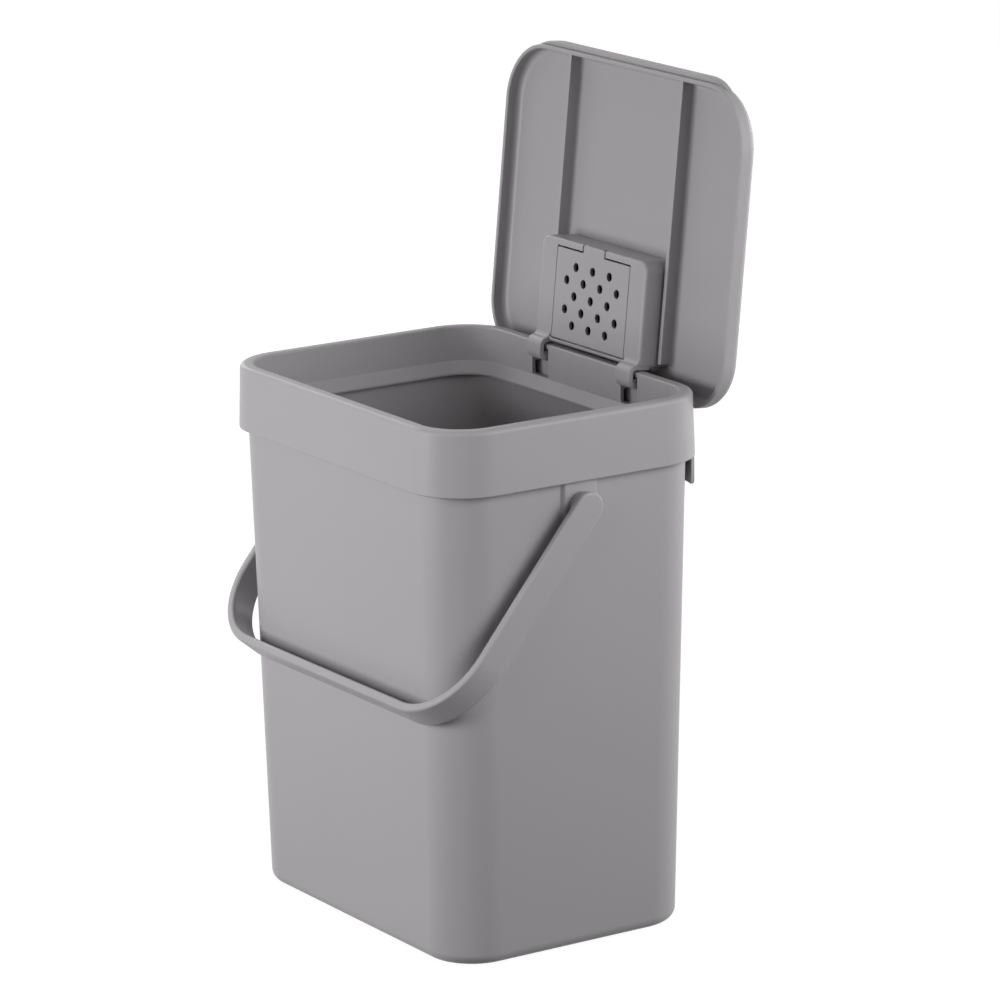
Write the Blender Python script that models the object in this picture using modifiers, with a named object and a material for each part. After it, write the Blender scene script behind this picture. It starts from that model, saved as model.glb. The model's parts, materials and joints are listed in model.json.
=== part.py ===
"""Food waste caddy: a tapered bucket with a push-on rim collar, a flip-up lid that carries a
carbon filter behind a perforated door, and a bail handle.

Metres, +Z up, front at -Y, origin on the floor under the middle of the bucket. The caddy is
modelled as it is used at the sink: the lid stands open on its stop, and the handle hangs
against the front wall.
"""
import math

import bmesh
import bpy
from mathutils import Matrix, Vector

# Rim collar, which sets the outline of the caddy
RIM_TOP = 0.276
RIM_LENGTH = 0.214
RIM_DEPTH = 0.161
RIM_CORNER = 0.03
RIM_BAND = 0.0072
RIM_OUTER_EDGE = 0.0025
RIM_INNER_EDGE = 0.001
COLLAR_WALL = 0.002
SKIRT_HEIGHT = 0.033
SKIRT_Z = RIM_TOP - SKIRT_HEIGHT
SKIRT_FLARE = 0.001
LEDGE_DROP = 0.0182
FLANGE_REACH = 0.005
FLANGE_FALL = 0.0055
SEAT_LIP = 0.0012

# Deep rear apron of the collar, with which the caddy hangs on a rail
APRON_INSET = 0.015
APRON_LENGTH = RIM_LENGTH - 2 * APRON_INSET
APRON_DROP = 0.05
APRON_CORNER = 0.0045
APRON_SETBACK = 0.0002

# Bucket
BUCKET_WALL = 0.0022
BUCKET_INSET = 0.004
BUCKET_TAPER = 0.0045
BUCKET_TOP_CORNER = 0.0255
BUCKET_BASE_CORNER = 0.025
BASE_FILLET = 0.006
PAD_WIDTH = 0.0217
PAD_PROUD = 0.0021
PAD_TUCK = 0.008

# Bail handle
PIVOT_DROP = 0.0123
PIVOT_HEIGHT = SKIRT_Z - PIVOT_DROP
HANDLE_CLEARANCE = 0.0014
HANDLE_INNER_HALF = RIM_LENGTH / 2 + SKIRT_FLARE + HANDLE_CLEARANCE
HANDLE_THICK = 0.0046
HANDLE_WIDTH = 0.0156
HANDLE_EDGE = 0.0012
HANDLE_FRONT = 0.0508
HANDLE_REACH = RIM_DEPTH / 2 + HANDLE_FRONT
HANDLE_CORNER = 0.04
HUB_RADIUS = 0.0068
STUD_RADIUS = 0.005
STUD_HEAD_LIP = 0.0012
STUD_HEAD_THICK = 0.0018

# Lid
LID_SIDE_INSET = 0.0013
LID_LENGTH = RIM_LENGTH - 2 * LID_SIDE_INSET
LID_OVERHANG = 0.0009
LID_DEPTH = RIM_DEPTH + 2 * LID_OVERHANG
LID_CORNER = 0.032
LID_REAR_CORNER = 0.027
LID_HEIGHT = 0.01
LID_WALL = 0.0022
LID_EDGE = 0.0055
RIB_SPACING = 0.0996
RIB_THICK = 0.0026
RIB_REAR_GAP = 0.0033
RIB_REAR = RIM_DEPTH / 2 - RIM_BAND - FLANGE_REACH - RIB_REAR_GAP
FINGER_LIP_INSET = 0.0222
FINGER_LIP_LENGTH = LID_LENGTH - 2 * FINGER_LIP_INSET
FINGER_LIP_TAPER = 0.0148
FINGER_LIP_REACH = 0.0028
FINGER_LIP_LOW = 0.003
FINGER_LIP_DROP = 0.001
FINGER_LIP_EDGE = 0.001
VENT_COUNT = 5
VENT_LENGTH = 0.034
VENT_WIDTH = 0.0028
VENT_PITCH = 0.0075

# Lid hinge
HINGE_INSET = 0.0043
HINGE_Y = RIM_DEPTH / 2 - HINGE_INSET
HINGE_DROP = 0.0074
HINGE_HEIGHT = RIM_TOP - HINGE_DROP
OPEN_ANGLE = math.radians(96)
PIN_RADIUS = 0.0012
BARREL_WALL = 0.0007

# Filter housing, its door and the carbon pad
HOUSING_SIDE_GAP = 0.0015
HOUSING_LENGTH = RIB_SPACING - RIB_THICK - 2 * HOUSING_SIDE_GAP
HOUSING_REAR_GAP = 0.009
HOUSING_REAR = HINGE_Y - HOUSING_REAR_GAP
HOUSING_SPAN = 0.0542
HOUSING_FRONT = HOUSING_REAR - HOUSING_SPAN
HOUSING_DEPTH = 0.01
HOUSING_WALL = 0.0022
HOUSING_CORNER = 0.006
HOUSING_REAR_CORNER = 0.0019
HOUSING_EDGE = 0.0016
DOOR_LENGTH = 0.065
DOOR_FRONT_FRAME = 0.004
DOOR_FRONT = HOUSING_FRONT + DOOR_FRONT_FRAME
DOOR_REAR_FRAME = 0.0024
DOOR_REAR = HOUSING_REAR - DOOR_REAR_FRAME
DOOR_THICK = 0.002
DOOR_GAP = 0.0004
DOOR_LEDGE = 0.0016
TAB_LENGTH = 0.0188
TAB_REACH = 0.0032
TAB_SIDE_GAP = 0.0009
DOOR_PIP_RADIUS = 0.0006
DOOR_PIP_LENGTH = 0.0009
HOLE_RADIUS = 0.0023
HOLE_ROWS = (3, 4, 3, 4, 3)
HOLE_END_MARGIN = 0.01
HOLE_PITCH = (DOOR_LENGTH - 2 * HOLE_END_MARGIN) / (max(HOLE_ROWS) - 1)
HOLE_ROW_MARGIN = 0.0087
HOLE_ROW_PITCH = (DOOR_REAR - DOOR_FRONT - 2 * HOLE_ROW_MARGIN) / (len(HOLE_ROWS) - 1)
PAD_EDGE = 0.001
CARBON_GAP = 0.0035

# Gooseneck arms and the seats they swing in
ARM_INSET = 0.00035
ARM_WIDTH = 0.0125
ARM_SPACING = HOUSING_LENGTH - ARM_WIDTH - 2 * ARM_INSET
ARM_THICK = 0.0028
ARM_SPREAD = 0.008
ARM_SINK = 0.0048
ARM_BEND = 0.0016
ARM_ROOT = 0.007
ARM_FILLET = 0.003
SLOT_SIDE_GAP = 0.0011
PIN_HOLD = 0.00285
PIN_LENGTH = ARM_WIDTH + 2 * (SLOT_SIDE_GAP + PIN_HOLD)
SLOT_TOP_DROP = 0.0024
SLOT_SILL = 0.0003
BOSS_LENGTH = 0.0042
BOSS_RADIUS = 0.0036

# Clearances
FIT = 0.0003
RUNNING_GAP = 0.0003
OVERRUN = 0.004
MERGE_DISTANCE = 0.00001

# How finely round stretches are divided
CORNER_STEPS = 9
EDGE_STEPS = 4
BEND_STEPS = 5
ROUND_STEPS = 24
HOLE_STEPS = 14
ROUND_END_ANGLE = 78

# Places that follow from the sizes above
LEDGE_Z = RIM_TOP - LEDGE_DROP
SEAT_Z = LEDGE_Z - COLLAR_WALL
BUCKET_TOP = SEAT_Z - FIT
BUCKET_SLOPE = BUCKET_TAPER / SKIRT_Z
LID_RIM = RIM_TOP + RUNNING_GAP
LID_INSIDE = LID_RIM + LID_HEIGHT - LID_WALL
BARREL_RADIUS = PIN_RADIUS + FIT + BARREL_WALL
FACE_Z = LID_RIM - HOUSING_DEPTH
HOUSING_TOP = LID_INSIDE - FIT
PAD_FACE = RIM_LENGTH / 2 - BUCKET_INSET + PAD_PROUD
CARBON_TOP = LID_INSIDE - FIT
CARBON_FACE = FACE_Z + DOOR_THICK + CARBON_GAP


def collection(name):
    """A collection of that name in the scene."""
    made = bpy.data.collections.new(name)
    bpy.context.scene.collection.children.link(made)
    return made


def material(name, colour, roughness, metallic=0.0):
    """A plain Principled material."""
    made = bpy.data.materials.new(name)
    made.use_nodes = True
    made.diffuse_color = (*colour, 1.0)
    shader = made.node_tree.nodes["Principled BSDF"]
    shader.inputs["Base Color"].default_value = (*colour, 1.0)
    shader.inputs["Roughness"].default_value = roughness
    shader.inputs["Metallic"].default_value = metallic
    return made


def thing(name, mesh_data, home, parent=None, finish=None):
    """An object from a bmesh, shaded smooth but for its real edges."""
    mesh = bpy.data.meshes.new(name)
    mesh_data.to_mesh(mesh)
    mesh_data.free()
    mesh.shade_smooth()
    mesh.set_sharp_from_angle(angle=math.radians(35))
    made = bpy.data.objects.new(name, mesh)
    home.objects.link(made)
    made.parent = parent
    if finish:
        mesh.materials.append(finish)
    return made


def arc(centre, radius, start, end, steps=EDGE_STEPS):
    """Points on an arc between two angles in degrees."""
    angles = [math.radians(start + (end - start) * step / steps) for step in range(steps + 1)]
    return [(centre[0] + radius * math.cos(a), centre[1] + radius * math.sin(a)) for a in angles]


def rounded_ring(half_x, half_y, corner, z, centre_y=0.0, rear_corner=None):
    """A level rounded rectangle, counterclockwise from above. Its rear corners can differ."""
    points = []
    for quarter in range(4):
        radius = rear_corner if rear_corner and quarter in (0, 1) else corner
        side_x = half_x - radius if quarter in (0, 3) else radius - half_x
        side_y = half_y - radius if quarter in (0, 1) else radius - half_y
        turn = arc((side_x, centre_y + side_y), radius, 90 * quarter, 90 * (quarter + 1), CORNER_STEPS)
        points += [(x, y, z) for x, y in turn]
    return points


def loft(rings, closed=False, cap_start=False, cap_end=False):
    """A skin through rings of equal count, listed so that its outside faces out."""
    skin = bmesh.new()
    rows = [[skin.verts.new(point) for point in ring] for ring in rings]
    pairs = list(zip(rows, rows[1:]))
    if closed:
        pairs.append((rows[-1], rows[0]))
    for low, high in pairs:
        for i in range(len(low)):
            j = (i + 1) % len(low)
            skin.faces.new((low[i], low[j], high[j], high[i]))
    if cap_start:
        skin.faces.new(list(reversed(rows[0])))
    if cap_end:
        skin.faces.new(rows[-1])
    return skin


def prism(outline, start, end, axis="X", solid=None):
    """A flat outline pushed out along an axis: (Y, Z) along X, (X, Z) along Y, (X, Y) along Z."""
    place = {
        "X": lambda u, v: (start, u, v),
        "Y": lambda u, v: (u, start, v),
        "Z": lambda u, v: (u, v, start),
    }[axis]
    push = Vector([end - start if axis == name else 0.0 for name in "XYZ"])
    solid = solid or bmesh.new()
    face = solid.faces.new([solid.verts.new(place(u, v)) for u, v in outline])
    pushed = bmesh.ops.extrude_face_region(solid, geom=[face])
    moved = [item for item in pushed["geom"] if isinstance(item, bmesh.types.BMVert)]
    bmesh.ops.translate(solid, vec=push, verts=moved)
    bmesh.ops.recalc_face_normals(solid, faces=solid.faces)
    return solid


def box(low, high):
    """A box between two corners."""
    size = Vector(high) - Vector(low)
    middle = (Vector(high) + Vector(low)) / 2
    place = Matrix.Translation(middle) @ Matrix.Diagonal((*size, 1.0))
    solid = bmesh.new()
    bmesh.ops.create_cube(solid, size=1.0, matrix=place)
    return solid


def cylinder(centre, radius, length, axis="X", steps=ROUND_STEPS, solid=None):
    """A cylinder centred on its length, alone or added to another solid."""
    turn = {"X": Matrix.Rotation(math.pi / 2, 4, "Y"), "Z": Matrix.Identity(4)}[axis]
    solid = solid or bmesh.new()
    bmesh.ops.create_cone(
        solid,
        cap_ends=True,
        segments=steps,
        radius1=radius,
        radius2=radius,
        depth=length,
        matrix=Matrix.Translation(centre) @ turn,
    )
    return solid


def boolean(target, tool, operation):
    """Cuts a tool out of an object, or joins it on."""
    modifier = target.modifiers.new(f"{operation.lower()} {tool.name}", "BOOLEAN")
    modifier.operation = operation
    modifier.solver = "EXACT"
    modifier.object = tool


def bevel(target, width, segments, angle=40):
    """Rounds an object's edges."""
    modifier = target.modifiers.new("rounded edges", "BEVEL")
    modifier.width = width
    modifier.segments = segments
    modifier.limit_method = "ANGLE"
    modifier.angle_limit = math.radians(angle)


def shell(target, wall):
    """Gives an open skin a wall on its inside."""
    modifier = target.modifiers.new("wall", "SOLIDIFY")
    modifier.thickness = wall
    modifier.offset = -1.0
    modifier.use_even_offset = True


class Tools:
    """Makes hidden cutters and joined-on shapes for one object."""

    def __init__(self, target, home, parent=None):
        self.target = target
        self.home = home
        self.parent = parent

    def add(self, name, solid, operation, edge=0.0):
        tool = thing(name, solid, self.home, self.parent)
        tool.hide_render = True
        tool.display_type = "WIRE"
        if edge:
            bevel(tool, edge, 2)
        boolean(self.target, tool, operation)

    def cut(self, name, solid, edge=0.0):
        self.add(name, solid, "DIFFERENCE", edge)

    def join(self, name, solid, edge=0.0):
        self.add(name, solid, "UNION", edge)


def bucket_inset(z):
    """How far the bucket's outside lies in from the rim's outline at a height."""
    return BUCKET_INSET + BUCKET_SLOPE * (SKIRT_Z - z)


def bucket_ring(z, extra=0.0):
    """The bucket's outline at a height, drawn in further for the base fillet."""
    share = z / SKIRT_Z
    corner = BUCKET_BASE_CORNER + (BUCKET_TOP_CORNER - BUCKET_BASE_CORNER) * share
    inset = bucket_inset(z) + extra
    return rounded_ring(RIM_LENGTH / 2 - inset, RIM_DEPTH / 2 - inset, corner - extra, z)


def make_bucket(home, tool_home, finish):
    """The tapered bucket, with a raised pad and a stud hole on each side."""
    fillet = arc((BASE_FILLET, BASE_FILLET), BASE_FILLET, 270, 180, EDGE_STEPS + 1)
    rings = [bucket_ring(z, inset) for inset, z in fillet]
    rings.append(bucket_ring(BUCKET_TOP))
    bucket = thing("bucket", loft(rings, cap_start=True), home, finish=finish)
    shell(bucket, BUCKET_WALL)
    tools = Tools(bucket, tool_home)
    root = RIM_LENGTH / 2 - bucket_inset(PIVOT_HEIGHT) - BUCKET_WALL / 2
    half = PAD_WIDTH / 2
    outline = arc((0.0, PIVOT_HEIGHT), half, 180, 360, ROUND_STEPS // 2)
    outline += [(half, SKIRT_Z + PAD_TUCK), (-half, SKIRT_Z + PAD_TUCK)]
    for side, word in ((-1, "left"), (1, "right")):
        tools.join(f"pad_{word}", prism(outline, side * root, side * PAD_FACE))
    hole = cylinder((0, 0, PIVOT_HEIGHT), STUD_RADIUS + FIT, RIM_LENGTH + OVERRUN)
    tools.cut("stud_hole", hole)
    return bucket


def collar_ring(inset, z):
    """The collar's outline, drawn in by an inset from the rim's outer edge."""
    return rounded_ring(RIM_LENGTH / 2 - inset, RIM_DEPTH / 2 - inset, RIM_CORNER - inset, z)


def skirt_inset(z):
    """How far the skirt's outside lies in from the rim's outline at a height."""
    return -SKIRT_FLARE * (RIM_TOP - RIM_OUTER_EDGE - z) / (SKIRT_HEIGHT - RIM_OUTER_EDGE)


def make_collar(home, tool_home, finish):
    """The hollow rim frame that sits on the bucket's edge and carries the lid's hinge."""
    bucket_inside = bucket_inset(BUCKET_TOP) + BUCKET_WALL
    lip = RIM_BAND + FLANGE_REACH
    profile = [(skirt_inset(SKIRT_Z), SKIRT_Z)]
    profile += arc((RIM_OUTER_EDGE, RIM_TOP - RIM_OUTER_EDGE), RIM_OUTER_EDGE, 180, 90)
    profile += arc((RIM_BAND - RIM_INNER_EDGE, RIM_TOP - RIM_INNER_EDGE), RIM_INNER_EDGE, 90, 0, 2)
    profile += [
        (RIM_BAND, LEDGE_Z),
        (lip, LEDGE_Z - FLANGE_FALL),
        (lip, LEDGE_Z - FLANGE_FALL - COLLAR_WALL),
        (bucket_inside + FIT, SEAT_Z - SEAT_LIP),
        (bucket_inside + FIT, SEAT_Z),
        (COLLAR_WALL, SEAT_Z),
        (COLLAR_WALL, LEDGE_Z),
        (RIM_BAND - COLLAR_WALL, LEDGE_Z),
        (RIM_BAND - COLLAR_WALL, RIM_TOP - COLLAR_WALL),
        (COLLAR_WALL, RIM_TOP - COLLAR_WALL),
        (skirt_inset(SKIRT_Z) + COLLAR_WALL, SKIRT_Z),
    ]
    skin = loft([collar_ring(u, z) for u, z in profile], closed=True)
    collar = thing("collar", skin, home, finish=finish)
    tools = Tools(collar, tool_home)
    add_apron(tools)
    add_hinge_seats(tools)
    return collar


def add_apron(tools):
    """The rear of the skirt hangs lower, with rounded lower corners."""
    low = SKIRT_Z + COLLAR_WALL
    foot = RIM_TOP - APRON_DROP
    outside = skirt_inset(SKIRT_Z) + APRON_SETBACK
    inside = skirt_inset(SKIRT_Z) + COLLAR_WALL - APRON_SETBACK
    section = ((outside, foot), (outside, low), (inside, low), (inside, foot))
    band = thing("apron", loft([collar_ring(u, z) for u, z in section], closed=True), tools.home)
    half = APRON_LENGTH / 2
    bottom = foot + APRON_CORNER
    outline = [(half, low + OVERRUN), (-half, low + OVERRUN)]
    outline += arc((APRON_CORNER - half, bottom), APRON_CORNER, 180, 270)
    outline += arc((half - APRON_CORNER, bottom), APRON_CORNER, 270, 360)
    keep = thing("apron_outline", prism(outline, 0.0, RIM_DEPTH, "Y"), tools.home)
    boolean(band, keep, "INTERSECT")
    boolean(tools.target, band, "UNION")
    for tool in (band, keep):
        tool.hide_render = True
        tool.display_type = "WIRE"


def add_hinge_seats(tools):
    """The two windows for the lid's arms, with a bored boss on each side of each window."""
    half_slot = ARM_WIDTH / 2 + SLOT_SIDE_GAP
    inner_face = RIM_DEPTH / 2 - RIM_BAND
    channel = inner_face + COLLAR_WALL
    skin = RIM_DEPTH / 2 - COLLAR_WALL
    top = RIM_TOP - SLOT_TOP_DROP
    for side, word in ((-1, "left"), (1, "right")):
        middle = side * ARM_SPACING / 2
        for end, place in ((-1, "inner"), (1, "outer")):
            edge = middle + end * half_slot
            outline = [(channel - FIT, top + FIT), (channel - FIT, HINGE_HEIGHT - BOSS_RADIUS)]
            outline += [(skin + FIT, HINGE_HEIGHT - BOSS_RADIUS), (skin + FIT, top + FIT)]
            tools.join(f"boss_{word}_{place}", prism(outline, edge, edge + end * BOSS_LENGTH))
        slot = box(
            (middle - half_slot, inner_face - OVERRUN, LEDGE_Z + SLOT_SILL),
            (middle + half_slot, channel + FIT, top),
        )
        tools.cut(f"window_{word}", slot)
        bore = cylinder((middle, HINGE_Y, HINGE_HEIGHT), PIN_RADIUS + FIT, PIN_LENGTH + FIT + FIT)
        tools.cut(f"pin_bore_{word}", bore)


def make_pins(home, finish):
    """One steel pin for each arm, held by the bosses."""
    for side, word in ((-1, "left"), (1, "right")):
        pin = thing(f"hinge_pin_{word}", cylinder((0, 0, 0), PIN_RADIUS, PIN_LENGTH), home, finish=finish)
        pin.location = (side * ARM_SPACING / 2, HINGE_Y, HINGE_HEIGHT)


def rest_angle():
    """How far forward of straight down the handle's arms come to rest on the bucket's front wall."""
    near = HANDLE_REACH - HANDLE_THICK
    back = HANDLE_WIDTH / 2
    wall = RIM_DEPTH / 2 - bucket_inset(PIVOT_HEIGHT) + RUNNING_GAP
    along = near + BUCKET_SLOPE * back
    across = back - BUCKET_SLOPE * near
    return math.asin(wall / math.hypot(along, across)) + math.atan2(across, along)


def ribbon_ring(centre, outward, half_thick, half_wide, edge):
    """A rounded strip section, square to its run: outward lies across its thickness."""
    wide = Vector((0, 1, 0))
    corners = ((1, 1), (-1, 1), (-1, -1), (1, -1))
    points = []
    for quarter, (u, v) in enumerate(corners):
        middle = (u * (half_thick - edge), v * (half_wide - edge))
        turn = arc(middle, edge, 90 * quarter, 90 * (quarter + 1), 2)
        points += [Vector(centre) + outward * a + wide * b for a, b in turn]
    return points


def round_end(radius):
    """Heights and half widths of a strip's round end, from its tip to its full width."""
    angles = [math.radians(ROUND_END_ANGLE * step / CORNER_STEPS) for step in range(CORNER_STEPS, -1, -1)]
    return [(radius * math.sin(a), radius * math.cos(a)) for a in angles]


def make_handle(home, tool_home, finish):
    """One bent strip with round ends, and a hub and a snap stud inside each end."""
    pivot = bpy.data.objects.new("handle_pivot", None)
    home.objects.link(pivot)
    pivot.location = (0, 0, PIVOT_HEIGHT)
    pivot.rotation_euler.x = -rest_angle()
    half_thick = HANDLE_THICK / 2
    middle_x = HANDLE_INNER_HALF + half_thick
    bend = HANDLE_CORNER - half_thick
    turn_x = middle_x - bend
    turn_z = bend - HANDLE_REACH + half_thick
    route = []
    for step in range(CORNER_STEPS + 1):
        angle = -90 * step / CORNER_STEPS
        x = turn_x + bend * math.cos(math.radians(angle))
        z = turn_z + bend * math.sin(math.radians(angle))
        route.append((x, z, angle, HANDLE_WIDTH / 2))
    route = [(middle_x, z, 0, half_wide) for z, half_wide in round_end(HANDLE_WIDTH / 2)] + route
    route += [(-x, z, -180 - angle, half_wide) for x, z, angle, half_wide in reversed(route)]
    rings = []
    for x, z, angle, half_wide in route:
        outward = Vector((math.cos(math.radians(angle)), 0, math.sin(math.radians(angle))))
        rings.append(ribbon_ring((x, 0, z), outward, half_thick, half_wide, HANDLE_EDGE))
    strip = loft(rings, cap_start=True, cap_end=True)
    bmesh.ops.recalc_face_normals(strip, faces=strip.faces)
    handle = thing("handle", strip, home, pivot, finish)
    tools = Tools(handle, tool_home, pivot)
    for side, word in ((-1, "left"), (1, "right")):
        add_stud(tools, side, word)
    return handle


def add_stud(tools, side, word):
    """The hub inside the end of an arm and its snap stud, turned about the pivot."""
    root = HANDLE_INNER_HALF + HANDLE_THICK / 2
    inside_wall = RIM_LENGTH / 2 - bucket_inset(PIVOT_HEIGHT - STUD_RADIUS - STUD_HEAD_LIP) - BUCKET_WALL
    head = inside_wall - FIT - STUD_HEAD_THICK
    profile = [
        (0.0, root),
        (HUB_RADIUS, root),
        (HUB_RADIUS, PAD_FACE + RUNNING_GAP),
        (STUD_RADIUS, PAD_FACE + RUNNING_GAP),
        (STUD_RADIUS, inside_wall - FIT),
        (STUD_RADIUS + STUD_HEAD_LIP, inside_wall - FIT),
        (STUD_RADIUS, head),
        (0.0, head),
    ]
    turned = bmesh.new()
    points = [turned.verts.new((side * x, r, 0)) for r, x in profile]
    for a, b in zip(points, points[1:]):
        turned.edges.new((a, b))
    bmesh.ops.spin(
        turned,
        geom=turned.verts[:] + turned.edges[:],
        cent=(0, 0, 0),
        axis=(1, 0, 0),
        angle=math.tau,
        steps=ROUND_STEPS,
    )
    bmesh.ops.remove_doubles(turned, verts=turned.verts, dist=MERGE_DISTANCE)
    bmesh.ops.recalc_face_normals(turned, faces=turned.faces)
    tools.join(f"stud_{word}", turned)


def make_lid_hinge(home):
    """The empty on the lid's hinge, turned back to the open stop. Lid pieces are drawn closed under it."""
    hinge = bpy.data.objects.new("lid_hinge", None)
    home.objects.link(hinge)
    hinge.location = (0, HINGE_Y, HINGE_HEIGHT)
    hinge.rotation_euler.x = -OPEN_ANGLE
    return hinge


def on_hinge(solid):
    """Moves a shape drawn on the closed caddy into the hinge's own frame."""
    bmesh.ops.translate(solid, vec=(0, -HINGE_Y, -HINGE_HEIGHT), verts=solid.verts)
    return solid


def lid_ring(inset, z):
    """The lid's outline, with tighter corners at the hinge, drawn in by an inset."""
    half_x = LID_LENGTH / 2 - inset
    half_y = LID_DEPTH / 2 - inset
    return rounded_ring(half_x, half_y, LID_CORNER - inset, z, rear_corner=LID_REAR_CORNER - inset)


def lip_ring(x, share):
    """A section across the finger lip, seated in the lid's wall, at a share of its full reach."""
    turned = max(0.0, abs(x) - (LID_LENGTH / 2 - LID_CORNER))
    face = LID_CORNER - LID_DEPTH / 2 - math.sqrt(LID_CORNER**2 - turned**2)
    nose = face + FIT - (FINGER_LIP_REACH + FIT) * share
    low = LID_RIM + FINGER_LIP_LOW
    high = LID_RIM + LID_HEIGHT - FINGER_LIP_DROP
    edge = min(FINGER_LIP_EDGE, (face + LID_WALL / 2 - nose) / 2)
    section = [(face + LID_EDGE / 2, high), (face + LID_WALL / 2, low)]
    section += arc((nose + edge, low + edge), edge, 270, 180, 2)
    section += arc((nose + edge, high - edge), edge, 180, 90, 2)
    return [(x, y, z) for y, z in section]


def finger_lip():
    """The lip along the lid's front, which fades into the lid's edge at both ends."""
    half = FINGER_LIP_LENGTH / 2
    fade = [step / CORNER_STEPS for step in range(CORNER_STEPS + 1)]
    ends = [(half - FINGER_LIP_TAPER * share, (1 - math.cos(math.pi * share)) / 2) for share in fade]
    rings = [lip_ring(-x, share) for x, share in ends]
    rings += [lip_ring(x, share) for x, share in reversed(ends)]
    lip = loft(rings, cap_start=True, cap_end=True)
    bmesh.ops.recalc_face_normals(lip, faces=lip.faces)
    return lip


def make_lid(home, tool_home, hinge, finish):
    """The shallow lid tray, with a finger lip in front, two long ribs and the filter's air slots."""
    top = LID_RIM + LID_HEIGHT
    profile = [(0.0, LID_RIM)] + arc((LID_EDGE, top - LID_EDGE), LID_EDGE, 180, 90, EDGE_STEPS + 1)
    rings = [lid_ring(u, z) for u, z in profile]
    lid = thing("lid", on_hinge(loft(rings, cap_end=True)), home, hinge, finish)
    shell(lid, LID_WALL)
    tools = Tools(lid, tool_home, hinge)
    front = -LID_DEPTH / 2
    for side, word in ((-1, "left"), (1, "right")):
        middle = side * RIB_SPACING / 2
        rib = box(
            (middle - RIB_THICK / 2, front + LID_WALL / 2, LID_RIM + FIT),
            (middle + RIB_THICK / 2, RIB_REAR, LID_INSIDE + LID_WALL / 2),
        )
        tools.join(f"rib_{word}", on_hinge(rib))
    tools.join("finger_lip", on_hinge(finger_lip()))
    centre = (DOOR_FRONT + DOOR_REAR) / 2
    radius = VENT_WIDTH / 2
    reach = VENT_LENGTH / 2 - radius
    slots = bmesh.new()
    for count in range(VENT_COUNT):
        y = centre + (count - (VENT_COUNT - 1) / 2) * VENT_PITCH
        outline = arc((reach, y), radius, -90, 90) + arc((-reach, y), radius, 90, 270)
        prism(outline, LID_INSIDE - OVERRUN, top + OVERRUN, "Z", slots)
    tools.cut("air_slots", on_hinge(slots))
    return lid


def housing_ring(inset, z):
    """The housing's outline between the lid's ribs, drawn in by an inset."""
    centre = (HOUSING_FRONT + HOUSING_REAR) / 2
    half_x = HOUSING_LENGTH / 2 - inset
    half_y = (HOUSING_REAR - HOUSING_FRONT) / 2 - inset
    return rounded_ring(half_x, half_y, HOUSING_CORNER - inset, z, centre, HOUSING_REAR_CORNER - inset)


def arm_outline():
    """The side of one gooseneck arm on the closed caddy: down from the housing, back, up to the barrel."""
    front_leg = HINGE_Y - ARM_SPREAD - ARM_THICK
    floor = HINGE_HEIGHT - ARM_SINK - ARM_THICK
    half = ARM_THICK / 2
    outside = ARM_BEND + ARM_THICK
    front_turn = (front_leg + outside, floor + outside)
    rear_turn = (HINGE_Y + half - outside, floor + outside)
    root = FACE_Z + ARM_ROOT
    fillet_drop = front_turn[1] - FACE_Z + ARM_FILLET
    lean = math.degrees(math.asin(fillet_drop / (outside + ARM_FILLET)))
    fillet_y = front_turn[0] - (outside + ARM_FILLET) * math.cos(math.radians(lean))
    outline = [(fillet_y, root)]
    outline += arc((fillet_y, FACE_Z - ARM_FILLET), ARM_FILLET, 90, lean, BEND_STEPS)
    outline += arc(front_turn, outside, 180 + lean, 270, BEND_STEPS)[1:]
    outline += arc(rear_turn, outside, 270, 360, BEND_STEPS)
    outline += [(HINGE_Y + half, HINGE_HEIGHT), (HINGE_Y - half, HINGE_HEIGHT)]
    outline += arc(rear_turn, ARM_BEND, 360, 270, BEND_STEPS)
    outline += arc(front_turn, ARM_BEND, 270, 180, BEND_STEPS)
    outline += [(front_leg + ARM_THICK, root)]
    return outline


def make_housing(home, tool_home, hinge, finish):
    """The filter housing: a deep frame open to the lid, with the door's recess and both hinge arms."""
    profile = arc((HOUSING_EDGE, FACE_Z + HOUSING_EDGE), HOUSING_EDGE, 270, 180, 3) + [(0.0, HOUSING_TOP)]
    skin = loft([housing_ring(u, z) for u, z in profile], cap_start=True, cap_end=True)
    housing = thing("filter_housing", on_hinge(skin), home, hinge, finish)
    tools = Tools(housing, tool_home, hinge)
    recess = DOOR_LENGTH / 2 + DOOR_GAP
    bay = recess - DOOR_LEDGE
    bay_front = DOOR_FRONT - DOOR_GAP + DOOR_LEDGE
    bay_rear = DOOR_REAR + DOOR_GAP - DOOR_LEDGE
    ledge = FACE_Z + DOOR_THICK + FIT
    far = HOUSING_TOP + OVERRUN
    near = FACE_Z - OVERRUN
    tools.cut("filter_bay", on_hinge(box((-bay, bay_front, near), (bay, bay_rear, far))))
    door_gap = box((-recess, DOOR_FRONT - DOOR_GAP, near), (recess, DOOR_REAR + DOOR_GAP, ledge))
    tools.cut("door_recess", on_hinge(door_gap))
    notch = TAB_LENGTH / 2 + TAB_SIDE_GAP
    tab_gap = box((-notch, HOUSING_FRONT - OVERRUN, near), (notch, DOOR_FRONT, ledge))
    tools.cut("tab_notch", on_hinge(tab_gap))
    for side, word in ((-1, "left"), (1, "right")):
        ends = sorted((side * (recess + HOUSING_WALL), side * (HOUSING_LENGTH / 2 - HOUSING_WALL)))
        pocket = box(
            (ends[0], HOUSING_FRONT + HOUSING_WALL, FACE_Z + HOUSING_WALL),
            (ends[1], HOUSING_REAR - HOUSING_WALL, far),
        )
        tools.cut(f"side_pocket_{word}", on_hinge(pocket))
        add_door_bearing(tools, side, word)
        add_arm(tools, side, word)
    return housing


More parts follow.
